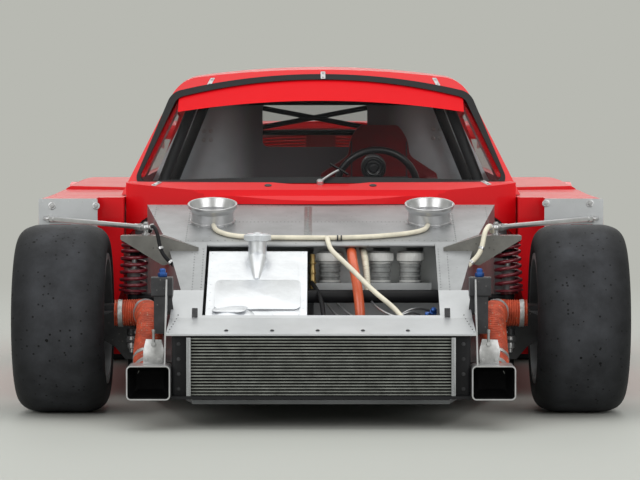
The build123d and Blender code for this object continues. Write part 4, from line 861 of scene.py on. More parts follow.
class RACECAR_OT_deck_rivets(bpy.types.Operator):
    """Adds the rivets and the lap seam of the nose sheets."""
    bl_idname = "racecar.deck_rivets"
    bl_label = "Deck rivets"

    def execute(self, context):
        with piece_of("deck_rivets", "rivet_metal", "bare_sheet") as bm:
            for x, first, last, pitch in RIVET_COLUMNS:
                for station in paced(first, last, pitch):
                    for sign in SIGNS:
                        add_rivet(bm, *on_deck(sign * x, station))
            for station, first, last, pitch in RIVET_ROWS:
                for x in paced(first, last, pitch):
                    add_rivet(bm, *on_deck(x, station))
            add_plate(bm, rectangle(*DECK_SEAM), facing(*on_deck(SEAM_X, 0.225)), 0.0012, 0.0004)
            for station in spread(0.040, 0.4106, 18):
                place, normal = on_deck(SEAM_X, station)
                add_rivet(bm, place + normal * 0.001, normal)
        tub = skin("nose_tub")
        with piece_of("tub_rivets", "rivet_metal", "bare_sheet") as bm:
            for sign in SIGNS:
                for z in TUB_RIVET_Z:
                    for station in spread(-0.46, 0.368, 24):
                        fasten(bm, tub, at(sign * OUTSIDE, station, z), (-sign, 0, 0), steep=0.8)
        return {"FINISHED"}


SHELF_SCREW_COLUMNS = (226.0, 272.0, 317.7, 363.0, 408.0)
SHELF_SCREW_ROW = 331.0
SHELF_SCREW = ((0.0066, 0.0), (0.0066, 0.0012), (0.0042, 0.0036), (0.0, 0.0040))
SHELF_EDGE = [(0.468 - 0.004 * step, -0.60 + 0.026 * step) for step in range(7)]  # X, station of its rivets
SHELF_CLIP = (0.392, -0.452, 0.348)


class RACECAR_OT_shelf_screws(bpy.types.Operator):
    """Adds the screws of the front shelf and its clips."""
    bl_idname = "racecar.shelf_screws"
    bl_label = "Shelf screws"

    def execute(self, context):
        shelf = skin("front_shelf", "jack_posts")
        with piece_of("shelf_screws", *DARK) as bm:
            for column in SHELF_SCREW_COLUMNS:
                add_turned(bm, SHELF_SCREW, aimed(*seen(shelf, column, SHELF_SCREW_ROW)), 14)
            for sign in SIGNS:
                for x, station in SHELF_EDGE:
                    fasten(bm, shelf, at(sign * x, station, 0.6), DOWN)
                add_plate(bm, rectangle(0.018, 0.030, 0.002), facing(*placed([SHELF_CLIP], sign), (0, -1, 0.4)),
                          0.004, 0.001)
        return {"FINISHED"}


COVER_PRESSES = (  # X, station, width and length of the pressed panels on the tank cover
    (-0.200, -0.300, 0.270, 0.190),
    (-0.285, -0.395, 0.110, 0.060),
    (-0.110, -0.395, 0.090, 0.050),
)
CAP_PLACE = (-0.205, -0.062)
CAP_KNURL = ((0.0015, 0.0), (0.0015, 0.016), (0.0, 0.0172))
CAP_LID = ((0.034, -0.0005), (0.034, 0.0022), (0.031, 0.0032), (0.014, 0.0032), (0.012, 0.0070), (0.0, 0.0078))


class RACECAR_OT_tank_trim(bpy.types.Operator):
    """Adds the knurled band and lid of the tank's cap, with the pressings and rivets of its cover."""
    bl_idname = "racecar.tank_trim"
    bl_label = "Tank trim"

    def execute(self, context):
        cover = skin("tank_cover")
        cap = aimed(at(*CAP_PLACE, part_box("tank_cover")[1][2]), UP)
        with piece_of("tank_trim", "cover_metal", "bright_sheet") as bm:
            add_studs(bm, cap, 56, 0.0424, -0.0185, CAP_KNURL)
            add_turned(bm, CAP_LID, cap, 40)
            for x, station, width, depth in COVER_PRESSES:
                place, normal = struck(cover, at(x, station, ABOVE), DOWN)
                add_plate(bm, rectangle(width, depth, 0.022, 6), facing(place - normal * 0.0022, normal), 0.0031,
                          0.0009)
            for x in (-0.350, -0.056):
                for station in spread(-0.42, -0.044, 9):
                    fasten(bm, cover, at(x, station, ABOVE), DOWN)
        return {"FINISHED"}


HOSE_CLAMPS = (  # X, station, height, direction of the bands on the bay's hoses
    (0.098, 0.098, 0.528, BACK),
    (0.098, 0.060, 0.528, BACK),
    (0.0985, 0.010, 0.5245, (-0.03, 1, 0.30)),
)
CLAMP_RADIUS = 0.0168
BAY_PIPES = (  # name, finish, slot, radius, control points: (X, station, height)
    ("brake_pipe_low", *BRIGHT, 0.0034,
     ((-0.030, 0.110, 0.395), (0.000, 0.040, 0.390), (0.020, -0.060, 0.350), (0.060, -0.200, 0.312),
      (0.180, -0.300, 0.302), (0.250, -0.300, 0.330), (0.300, -0.240, 0.345), (0.345, -0.120, 0.300))),
    ("brake_pipe_mid", *BRIGHT, 0.0034,
     ((0.020, 0.110, 0.385), (0.030, 0.000, 0.372), (0.110, -0.260, 0.312), (0.215, -0.330, 0.300),
      (0.262, -0.250, 0.340), (0.318, -0.200, 0.352), (0.355, -0.090, 0.330))),
    ("brake_pipe_high", *BRIGHT, 0.0034,
     ((0.150, 0.100, 0.384), (0.155, -0.040, 0.378), (0.170, -0.160, 0.352), (0.230, -0.260, 0.322),
      (0.330, -0.210, 0.312), (0.362, -0.060, 0.325))),
    ("oil_pipe", *RUBBER, 0.0075,
     ((-0.030, -0.020, 0.420), (0.000, -0.120, 0.390), (0.010, -0.260, 0.300), (0.070, -0.330, 0.250),
      (0.080, -0.330, 0.110))),
    ("ribbed_pipe", "cream_hose", "hose_cream",
     lambda along, angle: 0.0105 * (1 + 0.09 * math.sin(along * 1500)),
     ((0.136, 0.118, 0.528), (0.138, 0.030, 0.524), (0.144, -0.022, 0.492), (0.150, -0.060, 0.420),
      (0.152, -0.090, 0.370))),
)
FITTINGS = (  # X, station, height, direction, size: blue anodised unions
    (0.334, -0.318, 0.322, (0.0, -0.5, 1.0), 0.0105),
    (0.352, -0.296, 0.332, (0.2, -0.5, 1.0), 0.0120),
    (0.312, -0.330, 0.312, (-0.4, -0.5, 1.0), 0.0090),
    (-0.494, -0.412, 0.4585, UP, 0.0125),
    (0.494, -0.412, 0.4585, UP, 0.0125),
)
BRASS_FOOT = (-0.028, 0.006, 0.400)
ROUND_CAP = (-0.004, -0.330, 0.305)
POT_X, POT_STATION, POT_BASE_Z = (0.028, 0.193, 0.292), 0.060, 0.400
BRASS_PIPE = ((0.0105, 0.0), (0.0105, 0.062), (0.0085, 0.066), (0.0085, 0.112), (0.0, 0.114))
CAP_TURNED = ((0.020, -0.16), (0.020, -0.012), (0.023, -0.010), (0.023, 0.008), (0.021, 0.012), (0.008, 0.014),
              (0.0, 0.014))
POT_LID = ((0.0300, 0.0885), (0.0434, 0.0885), (0.0436, 0.0900), (0.0436, 0.1135), (0.0426, 0.1150),
           (0.0300, 0.1195), (0.0270, 0.1205), (0.0, 0.1205))
POT_BANDS = ((0.010, 0.0372), (0.022, 0.0362), (0.083, 0.0362))  # height, radius


def add_union(bm, where, size):
    """A pipe union: collar, hexagon and the pipe nut over it."""
    add_turned(bm, ((size * 0.8, -size), (size * 0.8, 0.0)), where, 16)
    add_turned(bm, ((size * 1.05, 0.0), (size * 1.15, size * 0.15), (size * 1.15, size * 0.9),
                    (size, size * 1.05)), where, 6)
    add_turned(bm, ((size * 0.78, size), (size * 0.78, size * 1.8), (size * 0.55, size * 2.1), (0.0, size * 2.1)),
               where, 16)


class RACECAR_OT_bay_fittings(bpy.types.Operator):
    """Adds the pipes, unions, clamps and caps inside the open bay."""
    bl_idname = "racecar.bay_fittings"
    bl_label = "Bay fittings"

    def execute(self, context):
        for name, item, slot, radius, route in BAY_PIPES:
            with piece_of(name, item, slot, sharp=60.0) as bm:
                add_tube(bm, spline_path(placed(route), 24), radius, 14)
        with piece_of("hose_clamps", *DARK) as bm:
            for x, station, height, direction in HOSE_CLAMPS:
                where = aimed(at(x, station, height), direction)
                add_turned(bm, ((CLAMP_RADIUS - 0.003, -0.005), (CLAMP_RADIUS, -0.005), (CLAMP_RADIUS + 0.0008, 0.0),
                                (CLAMP_RADIUS, 0.005), (CLAMP_RADIUS - 0.003, 0.005)), where, 28)
                add_plate(bm, rectangle(0.012, 0.010, 0.002), shifted(where, 0.0, CLAMP_RADIUS + 0.002, -0.004),
                          0.009, 0.001)
            for x in (0.054, 0.066):
                place, normal = on_deck(x, 0.018)
                add_turned(bm, ((0.0078, -0.0022), (0.0092, -0.0022), (0.0092, 0.0022), (0.0078, 0.0022)),
                           aimed(place + normal * 0.0085, (1, 0, 0)), 22)
        with piece_of("blue_unions", "blue_anodised", "dark_steel") as bm:
            for x, station, height, direction, size in FITTINGS:
                add_union(bm, aimed(at(x, station, height), direction), size)
        brass = aimed(at(*BRASS_FOOT), UP)
        with piece_of("brass_pipe", "brass_metal", "grey_sheet") as bm:
            add_turned(bm, BRASS_PIPE, brass, 18)
            for level in (0.016, 0.048, 0.080):
                add_turned(bm, ((0.0125, level), (0.0130, level + 0.003), (0.0125, level + 0.006)), brass, 18)
        cap = aimed(at(*ROUND_CAP), (0.0, -0.25, 1.0))
        with piece_of("round_cap", *BRIGHT) as bm:
            add_turned(bm, CAP_TURNED, cap, 32)
            add_studs(bm, cap, 24, 0.0232, -0.009, ((0.0012, 0.0), (0.0012, 0.016), (0.0, 0.017)))
        pots = [aimed(at(x, POT_STATION, POT_BASE_Z), UP) for x in POT_X]
        with piece_of("pot_lids", "white_plastic", "white_plastic") as bm:
            for pot in pots:
                add_studs(bm, pot, 36, 0.0432, 0.0905, ((0.0013, 0.0), (0.0013, 0.022), (0.0, 0.023)))
                add_turned(bm, POT_LID, pot, 40)
        with piece_of("pot_bands", "white_plastic", "white_plastic") as bm:
            for pot in pots:
                for level, reach in POT_BANDS:
                    add_turned(bm, collar(reach, 0.0035, 0.0331, 0.0015), shifted(pot, 0, 0, level), 32)
        return {"FINISHED"}


FILLER_PLACE = (0.360, 0.235)
FILLER_RINGS = ((0.0622, 0.0805, 0.0022), (0.0075, 0.0725, 0.0016))  # height over the deck, radius, wire
FILLER_SCREW = ((0.0034, 0.0), (0.0030, 0.0018), (0.0, 0.0024))


class RACECAR_OT_filler_trim(bpy.types.Operator):
    """Adds the rolled lips, base rings and screws of the two filler collars."""
    bl_idname = "racecar.filler_trim"
    bl_label = "Filler trim"

    def execute(self, context):
        with piece_of("filler_trim", *BRIGHT) as bm:
            for sign in SIGNS:
                foot, normal = on_deck(sign * FILLER_PLACE[0], FILLER_PLACE[1])
                for distance, radius, wire in FILLER_RINGS:
                    add_ring(bm, foot + normal * distance, normal, radius, wire, 64)
                where = aimed(foot, normal)
                add_studs(bm, where, 10, 0.0785, 0.0002, FILLER_SCREW, 10, 0.5)
                add_turned(bm, ((0.051, 0.010), (0.0535, 0.012), (0.0535, 0.020), (0.051, 0.022)), where, 48)
        return {"FINISHED"}


DUCT_RADIUS = 0.0415
DUCT_PITCH = 0.0078
DUCT_ROUTE = (  # the brake duct's control points: X, station, height
    (0.526, -0.528, 0.149), (0.540, -0.440, 0.158), (0.548, -0.345, 0.215), (0.540, -0.235, 0.318),
    (0.560, -0.132, 0.334), (0.605, -0.124, 0.328), (0.662, -0.124, 0.328),
)
DUCT_BANDS = ((0.02, 0.022), (0.17, 0.030), (0.30, 0.014), (0.80, 0.020), (0.965, 0.016))  # share of length, width


def duct_rib(along, angle):
    """The duct's radius: a wire's spiral ribs under cloth with a few creases."""
    wave = abs(math.sin(math.pi * along / DUCT_PITCH + angle / 2)) ** 0.7
    return DUCT_RADIUS - 0.0028 + 0.0042 * wave + 0.0009 * math.sin(5 * angle + along * 34)


def band_fold(along, angle):
    return DUCT_RADIUS + 0.0026 + 0.0005 * math.sin(7 * angle + along * 300)


class RACECAR_OT_brake_ducts(bpy.types.Operator):
    """Replaces the two brake hoses by ribbed ducts with their clamping tape."""
    bl_idname = "racecar.brake_ducts"
    bl_label = "Brake ducts"

    def execute(self, context):
        for side, sign in SIDES:
            route = spline_path(placed(DUCT_ROUTE, sign), 110)
            lengths = [0.0]
            for before, here in zip(route, route[1:]):
                lengths.append(lengths[-1] + (here - before).length)
            bm = bmesh.new()
            add_tube(bm, route, duct_rib, 36)
            for share, width in DUCT_BANDS:
                middle = share * lengths[-1]
                stretch = [point for point, reach in zip(route, lengths) if abs(reach - middle) <= width / 2]
                if len(stretch) > 2:
                    add_tube(bm, stretch, band_fold, 36, 1)
            duct = new_piece(f"brake_duct_{side}", bm, None, ["duct_cloth", "tape_metal"], 70.0)
            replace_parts(duct, f"brake_hose_{side}")
            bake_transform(duct)
        return {"FINISHED"}


STRUTS = (  # node, foot, head, spring low, spring high, radius, wire, turns
    ("front_coilovers", (0.612, 0.0, 0.3812), (0.602, 0.0, 0.5687), 0.018, 0.168, 0.0400, 0.0058, 6.5),
    ("rear_coilovers", (0.545, 2.150, 0.2640), (0.545, 2.150, 0.6598), 0.120, 0.330, 0.0460, 0.0068, 6.0),
)
STRUT_FINISHES = ["spring_paint", "machined_metal", "spring_paint", "machined_metal", "soft_rubber"]
SPRING, BODY, SEATS, SHAFT, STOP = range(5)
THREAD_PITCH = 0.0026
BUMP_STOP = ((0.0, 0.052), (0.009, 0.048), (0.006, 0.036), (0.011, 0.028), (0.007, 0.016), (0.012, 0.006),
             (0.0, 0.002))  # distance from the shaft, distance under the top seat


def add_spring(bm, where, low, high, radius, wire, turns):
    """A coil with closed, flattened end turns, standing between two heights of a matrix's Z."""
    steps, path = 44 * int(turns + 1), []
    for step in range(steps + 1):
        share = step / steps
        eased = 0.5 - 0.5 * math.cos(math.pi * share) * (1 - 0.35 * math.sin(math.pi * share) ** 2)
        height = low + wire + (high - low - 2 * wire) * (0.55 * share + 0.45 * eased)
        angle = 2 * math.pi * turns * share
        path.append(where @ Vector((radius * math.cos(angle), radius * math.sin(angle), height)))
    add_tube(bm, path, wire, 14, SPRING)


def add_damper(bm, where, reach, low, high, radius, wire):
    """Damper: threaded body with its collar and ring nut, shaft, bump rubber, top seat and eyes."""
    seat, body, shaft = radius + wire, radius * 0.52, radius * 0.22
    top = low + (high - low) * 0.42
    thread, level = [(body, 0.012)], 0.014
    while level < top:
        thread += [(body, level), (body + 0.0009, level + THREAD_PITCH / 2)]
        level += THREAD_PITCH
    thread += [(body - 0.002, top), (body - 0.004, top + 0.004), (0.0, top + 0.005)]
    add_turned(bm, [(0.0, -0.001), (body * 0.8, 0.0), (body, 0.006), *thread], where, 32, BODY)
    for level, rim in ((low - 0.0075, seat), (low - 0.0160, body + 0.008)):
        add_turned(bm, ((body + 0.0004, level), (rim - 0.001, level), (rim, level + 0.001), (rim, level + 0.006),
                        (rim - 0.001, level + 0.007), (body + 0.0004, level + 0.007)), where, 36, SEATS)
    add_turned(bm, ((shaft, top), (shaft, reach - 0.012)), where, 20, SHAFT)
    add_turned(bm, [(shaft + out, high - drop) for out, drop in BUMP_STOP], where, 24, STOP)
    tip = min(high + 0.013, reach)
    add_turned(bm, ((0.0, high), (seat - 0.001, high), (seat, high + 0.001), (seat, high + 0.005),
                    (body, high + 0.009), (body * 0.8, tip), (0.0, tip)), where, 36, SEATS)


class RACECAR_OT_springs(bpy.types.Operator):
    """Replaces the front and rear dampers by detailed ones with their coil springs."""
    bl_idname = "racecar.springs"
    bl_label = "Springs"

    def execute(self, context):
        for name, foot, head, low, high, radius, wire, turns in STRUTS:
            bm = bmesh.new()
            for sign in SIGNS:
                start, end = placed((foot, head), sign)
                where = aimed(start, end - start)
                add_spring(bm, where, low, high, radius, wire, turns)
                add_damper(bm, where, (end - start).length, low, high, radius, wire)
            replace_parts(new_piece(f"detailed_{name}", bm, "chassis", STRUT_FINISHES, 40.0), name)
        return {"FINISHED"}


ROD_FOOT = (0.570, 0.020, 0.598)
ROD_HEAD = (0.932, 0.368, 0.619)
TOWER_PIPE = (  # X, station, height
    (0.556, 0.006, 0.586), (0.548, -0.040, 0.612), (0.528, -0.082, 0.590), (0.520, -0.092, 0.545),
    (0.508, -0.104, 0.515), (0.484, -0.112, 0.490), (0.462, -0.118, 0.470),
)
TOWER_PIPE_FINISHES = {1: (0.0080, "cream_hose", "hose_cream"), -1: (0.0062, *RUBBER)}
CLIP_SHARES = (0.10, 0.58, 0.90)  # where the pipe's clips sit along it


class RACECAR_OT_tower_pipes(bpy.types.Operator):
    """Adds the breather pipe that runs over each tower, with its clips."""
    bl_idname = "racecar.tower_pipes"
    bl_label = "Tower pipes"

    def execute(self, context):
        for side, sign in SIDES:
            path = spline_path(placed(TOWER_PIPE, sign))
            radius, item, slot = TOWER_PIPE_FINISHES[sign]
            with piece_of(f"tower_pipe_{side}", item, slot) as bm:
                add_tube(bm, path, radius, 14)
            with piece_of(f"tower_clips_{side}", *BRIGHT) as bm:
                for share in CLIP_SHARES:
                    index = int(share * (len(path) - 2))
                    add_turned(bm, collar(0.0098, 0.005, 0.0075, 0.001),
                               aimed(path[index], path[index + 1] - path[index]), 22)
        return {"FINISHED"}


ROD_NUTS = (  # share of the strut, radius, half length, sides
    (0.052, 0.0125, 0.007, 6), (0.085, 0.0102, 0.010, 20), (0.915, 0.0102, 0.011, 20), (0.948, 0.0125, 0.006, 6),
)


class RACECAR_OT_strut_ends(bpy.types.Operator):
    """Adds the rod ends, lock nuts and clevis bolts of the two fender struts."""
    bl_idname = "racecar.strut_ends"
    bl_label = "Strut ends"

    def execute(self, context):
        with piece_of("strut_ends", *BRIGHT) as bm:
            for sign in SIGNS:
                foot, head = placed((ROD_FOOT, ROD_HEAD), sign)
                run = head - foot
                for share, radius, half, sides in ROD_NUTS:
                    add_turned(bm, collar(radius, half, radius * 0.8, 0.001), aimed(foot + run * share, run), sides)
                add_bolt(bm, foot + Vector((0, 0, 0.012)), UP, 0.0065)
                eye = head - run.normalized() * 0.022
                add_ring(bm, eye, UP, 0.0135, 0.0042, 28)
                add_bolt(bm, eye + Vector((0, 0, 0.004)), UP, 0.0060)
        return {"FINISHED"}


PLATE_BOLT_PIXELS = ((52.0, 206.0), (96.0, 206.0), (546.0, 203.5), (590.0, 203.5))
PLATE_RIVET_X = (0.768, 0.800, 0.850, 0.905, 0.938)
PLATE_WASHER = ((0.0125, 0.0), (0.0125, 0.0014), (0.0100, 0.0020), (0.0085, 0.0012))


class RACECAR_OT_plate_bolts(bpy.types.Operator):
    """Adds the fasteners of the two fender plates."""
    bl_idname = "racecar.plate_bolts"
    bl_label = "Plate bolts"

    def execute(self, context):
        plates = skin("fender_plates")
        low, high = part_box("fender_plates")
        with piece_of("plate_bolts", *BRIGHT) as bm:
            for column, row in PLATE_BOLT_PIXELS:
                place, normal = seen(plates, column, row)
                add_turned(bm, PLATE_WASHER, aimed(place, normal), 24)
                add_bolt(bm, place + normal * 0.001, normal, 0.0052, 0.4)
            for x in PLATE_RIVET_X:
                for sign in SIGNS:
                    add_rivet(bm, (sign * x, low[1], high[2] - 0.010), AHEAD, 0.0020)
        return {"FINISHED"}


INTAKE_X = 0.526
INTAKE_MIDDLE = 0.0525  # above the intakes' lowest point
INTAKE_SHADE_SIZE = (0.1252, 0.0962)
INTAKE_FACE = -0.660
INTAKE_FUNNEL = ((0.0035, 0.0), (0.030, 0.0), (0.070, 0.004), (0.108, 0.018), (0.124, 0.040))  # depth, narrowing
INTAKE_TILT = (0, -1, 0.12)
INTAKE_PLATE = (0.516, -0.566, 0.1985)
INTAKE_PLATE_OUTLINE = ((-0.030, 0.0), (0.030, 0.0), (0.034, 0.040), (0.026, 0.074), (-0.022, 0.076), (-0.030, 0.040))
INTAKE_STUD = ((0.0042, -0.006), (0.0042, 0.034), (0.0055, 0.036), (0.0055, 0.044), (0.0, 0.046))


class RACECAR_OT_intakes(bpy.types.Operator):
    """Adds near-black funnels inside the brake intakes as painted shade, with the plates and bolts above them."""
    bl_idname = "racecar.intakes"
    bl_label = "Intakes"

    def execute(self, context):
        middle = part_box("brake_intakes")[0][2] + INTAKE_MIDDLE
        for side, sign in SIDES:
            # Painted shade: a near-black funnel, closed at its back, stands for the dark inside of each intake.
            with piece_of(f"intake_liner_{side}", "deep_black", "black_parts", sharp=50.0) as bm:
                rings = []
                for depth, shrink in INTAKE_FUNNEL:
                    outline = rectangle(INTAKE_SHADE_SIZE[0] - shrink, INTAKE_SHADE_SIZE[1] - shrink, 0.009, 5)
                    rings.append([bm.verts.new(at(sign * INTAKE_X + x, INTAKE_FACE + depth, middle + y))
                                  for x, y in outline])
                for near, far in zip(rings, rings[1:]):
                    bridge(bm, near, far)
                bm.faces.new(rings[-1])
        with piece_of("intake_plates", "plated_metal", "bright_sheet") as bm:
            for sign in SIGNS:
                where = facing(*placed([INTAKE_PLATE], sign), INTAKE_TILT)
                add_plate(bm, INTAKE_PLATE_OUTLINE, where, 0.003, 0.0008)
                stud = where @ Vector((-0.002 * sign, 0.060, 0.003))
                add_bolt(bm, stud, INTAKE_TILT, 0.0062)
                add_turned(bm, INTAKE_STUD, aimed(stud, UP), 14)
                for x in (-0.020, 0.020):
                    add_bolt(bm, where @ Vector((x, 0.012, 0.003)), INTAKE_TILT, 0.0045)
        return {"FINISHED"}


BAR_STUD = ((0.0026, 0.0), (0.0022, 0.0012), (0.0, 0.0015))
RADIATOR_BOLT_X = 0.436


class RACECAR_OT_radiator_trim(bpy.types.Operator):
    """Adds the ridged side bars and the screws of the radiator."""
    bl_idname = "racecar.radiator_trim"
    bl_label = "Radiator trim"

    def execute(self, context):
        low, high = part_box("radiator_core")
        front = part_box("radiator_frame")[0][1]
        with piece_of("radiator_bars", "sheet_metal", "grey_sheet") as bm:
            for sign in SIGNS:
                x = sign * (high[0] + 0.0065)
                add_plate(bm, rectangle(0.013, high[2] - low[2] - 0.002, 0.001),
                          facing((x, front + 0.0005, (low[2] + high[2]) / 2), AHEAD), 0.002, 0.0005)
                for z in spread(low[2] + 0.006, high[2] - 0.006, 30):
                    add_turned(bm, BAR_STUD, aimed((x, front - 0.0016, z), AHEAD), 8)
        with piece_of("radiator_bolts", *DARK) as bm:
            for sign in SIGNS:
                for z in spread(low[2] + 0.020, low[2] + 0.158, 4):
                    add_bolt(bm, (sign * RADIATOR_BOLT_X, front + 0.030, z), AHEAD, 0.0040)
        return {"FINISHED"}


JOINT_X = 0.608
BALL_JOINTS = ((0.1745, 0.017, UP), (0.3575, 0.015, DOWN))  # height, size, way up
ROD_EYE_CAP = ((0.0085, -0.001), (0.0095, 0.0008), (0.0070, 0.0022), (0.0, 0.0028))
BOOT = ((1.3, -0.002), (1.35, 0.002), (1.0, 0.006), (1.1, 0.010), (0.7, 0.014))  # share of the size, height
ARM_STUD = (
    (0.0150, 0.0), (0.0165, 0.002), (0.0165, 0.012), (0.0110, 0.014), (0.0110, 0.020), (0.0145, 0.022),
    (0.0155, 0.030), (0.0145, 0.038), (0.0085, 0.041), (0.0085, 0.052), (0.0, 0.054),
)


class RACECAR_OT_hub_joints(bpy.types.Operator):
    """Adds the ball joints and boots of the track rods and wishbones."""
    bl_idname = "racecar.hub_joints"
    bl_label = "Hub joints"

    def execute(self, context):
        low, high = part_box("rack_and_tie_rods")
        y, z = (low[1] + high[1]) / 2, (low[2] + high[2]) / 2
        for side, sign in SIDES:
            with piece_of(f"ball_joints_{side}", *RUBBER, f"upright_{side}") as bm:
                for height, size, direction in BALL_JOINTS:
                    add_turned(bm, [(size * share, level) for share, level in BOOT],
                               aimed((sign * JOINT_X, AXLE_Y, height), direction), 24)
            with piece_of(f"arm_stud_{side}", "machined_metal", "dark_steel", f"upright_{side}") as bm:
                add_turned(bm, ARM_STUD, aimed((sign * JOINT_X, y, 0.254), DOWN), 28)
        with piece_of("track_rod_ends", "machined_metal", "dark_steel", "rack") as bm:
            for sign in SIGNS:
                end = aimed((sign * 0.590, y, z), (sign, 0, 0))
                add_turned(bm, collar(0.0128, 0.012, 0.0115, 0.002), end, 6)
                add_turned(bm, collar(0.0118, 0.026, 0.0100, 0.002), shifted(end, 0, 0, -0.044), 20)
                add_turned(bm, ROD_EYE_CAP, aimed((sign * JOINT_X, y, high[2]), UP), 20)
        return {"FINISHED"}


# Windscreen, cowl and cabin
BAND_MIDDLE_Z = 1.0188
BAND_BOW = 0.150
BAND_HALF = 0.512
BAND_COLUMNS, BAND_ROWS = 60, 8
SCREEN_CLIPS = ((211.0, 82.0, 0.0), (323.0, 75.5, 0.0), (436.0, 82.0, 0.0), (156.5, 184.0, -0.5),
                (486.0, 183.0, 0.5))  # pixels, lean
COWL_BUTTONS = ((268.0, 185.5), (373.0, 185.5))
COWL_BUTTON = ((0.0125, 0.0), (0.0125, 0.0015), (0.0095, 0.0030), (0.0070, 0.0022), (0.0, 0.0022))
WIPER_FOOT, WIPER_TIP = (320.0, 184.0), (339.0, 172.5)
WIPER_BOSS = ((0.012, -0.010), (0.012, 0.004), (0.009, 0.008), (0.0, 0.009))


def add_band(bm, screen, front, top_z):
    """The bare band: a sheet laid on the glass from its top edge down to a bowed line."""
    grid = []
    for x in spread(-BAND_HALF, BAND_HALF, BAND_COLUMNS + 1):
        cut, top, line = BAND_MIDDLE_Z - BAND_BOW * x * x, top_z, []
        while top > cut and not struck(screen, (x, front, top), BACK):
            top -= 0.001
        for z in spread(cut, top, BAND_ROWS + 1):
            found = struck(screen, (x, front, z), BACK)
            line.append(bm.verts.new(found[0] + found[1] * 0.0009) if found else None)
        grid.append(line)
    for left, right in zip(grid, grid[1:]):
        for row in range(BAND_ROWS):
            corners = (left[row], right[row], right[row + 1], left[row + 1])
            if all(corners):
                bm.faces.new(corners)
    bmesh.ops.delete(bm, geom=[vertex for vertex in bm.verts if not vertex.link_faces], context="VERTS")


class RACECAR_OT_screen_trim(bpy.types.Operator):
    """Adds the bare red band, the clips, the wiper and the buttons round the windscreen."""
    bl_idname = "racecar.screen_trim"
    bl_label = "Windscreen trim"

    def execute(self, context):
        screen = skin("windscreen")
        low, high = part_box("windscreen")
        with piece_of("screen_band", "banner_red", "red_paint") as bm:
            add_band(bm, screen, low[1] - 0.2, high[2])
        around = skin("windscreen_seal", "windscreen", "cabin_shell", "cowl")
        with piece_of("screen_clips", *BRIGHT) as bm:
            for column, row, lean in SCREEN_CLIPS:
                place, normal = seen(around, column, row)
                where = facing(place, normal, lean)
                add_plate(bm, rectangle(0.017, 0.046, 0.003), where, 0.0018, 0.0005)
                for y in (-0.014, 0.014):
                    add_bolt(bm, where @ Vector((0, y, 0.0018)), normal, 0.0032)
        with piece_of("cowl_buttons", *DARK) as bm:
            for column, row in COWL_BUTTONS:
                add_turned(bm, COWL_BUTTON, aimed(*seen(around, column, row)), 24)
        foot, lift = seen(around, *WIPER_FOOT)
        tip, up = seen(screen, *WIPER_TIP)
        foot, tip = foot + lift * 0.008, tip + up * 0.011
        with piece_of("wiper_arm", *BRIGHT) as bm:
            add_tube(bm, spline_path([foot, (foot + tip) / 2 + up * 0.006, tip], 12), 0.0040, 10)
            add_turned(bm, WIPER_BOSS, aimed(foot, lift), 20)
        with piece_of("wiper_blade", *RUBBER) as bm:
            add_plate(bm, rectangle(0.0065, 0.085, 0.002), facing(tip, up, 0.75), 0.006, 0.001)
        return {"FINISHED"}


SEAT_MIDDLE_X = 0.222
SEAT_VOXEL = 0.010
SEAT_SHRINK = 0.006
SEAT_SWELL = 0.010
SEAT_HEAD = (0.84, 0.94)  # heights between which the head narrows
SEAT_HEAD_ROUND = 0.58
SEAT_HALF = 0.105
SEAT_SEAM_Z = (0.40, 0.50, 0.60, 0.70)
PIPING_Z = (0.30, 0.894)
CLOTH_FRAMES = 20


def apply_modifiers(piece):
    """Turns a piece's mesh into what its modifiers make of it, and takes them off."""
    graph = bpy.context.evaluated_depsgraph_get()
    made = bpy.data.meshes.new_from_object(piece.evaluated_get(graph))
    piece.modifiers.clear()
    piece.data = made


def stuff(piece, scene):
    """Swells a closed cover by its pressure with a cloth simulation."""
    cloth = piece.modifiers.new("stuffing", "CLOTH")
    cloth.settings.use_pressure = True
    cloth.settings.uniform_pressure_force = 4.0
    cloth.settings.effector_weights.gravity = 0.0
    cloth.settings.quality = 4
    cloth.point_cache.frame_start, cloth.point_cache.frame_end = 1, CLOTH_FRAMES
    for step in range(1, CLOTH_FRAMES + 1):
        scene.frame_set(step)
    apply_modifiers(piece)
    scene.frame_set(1)


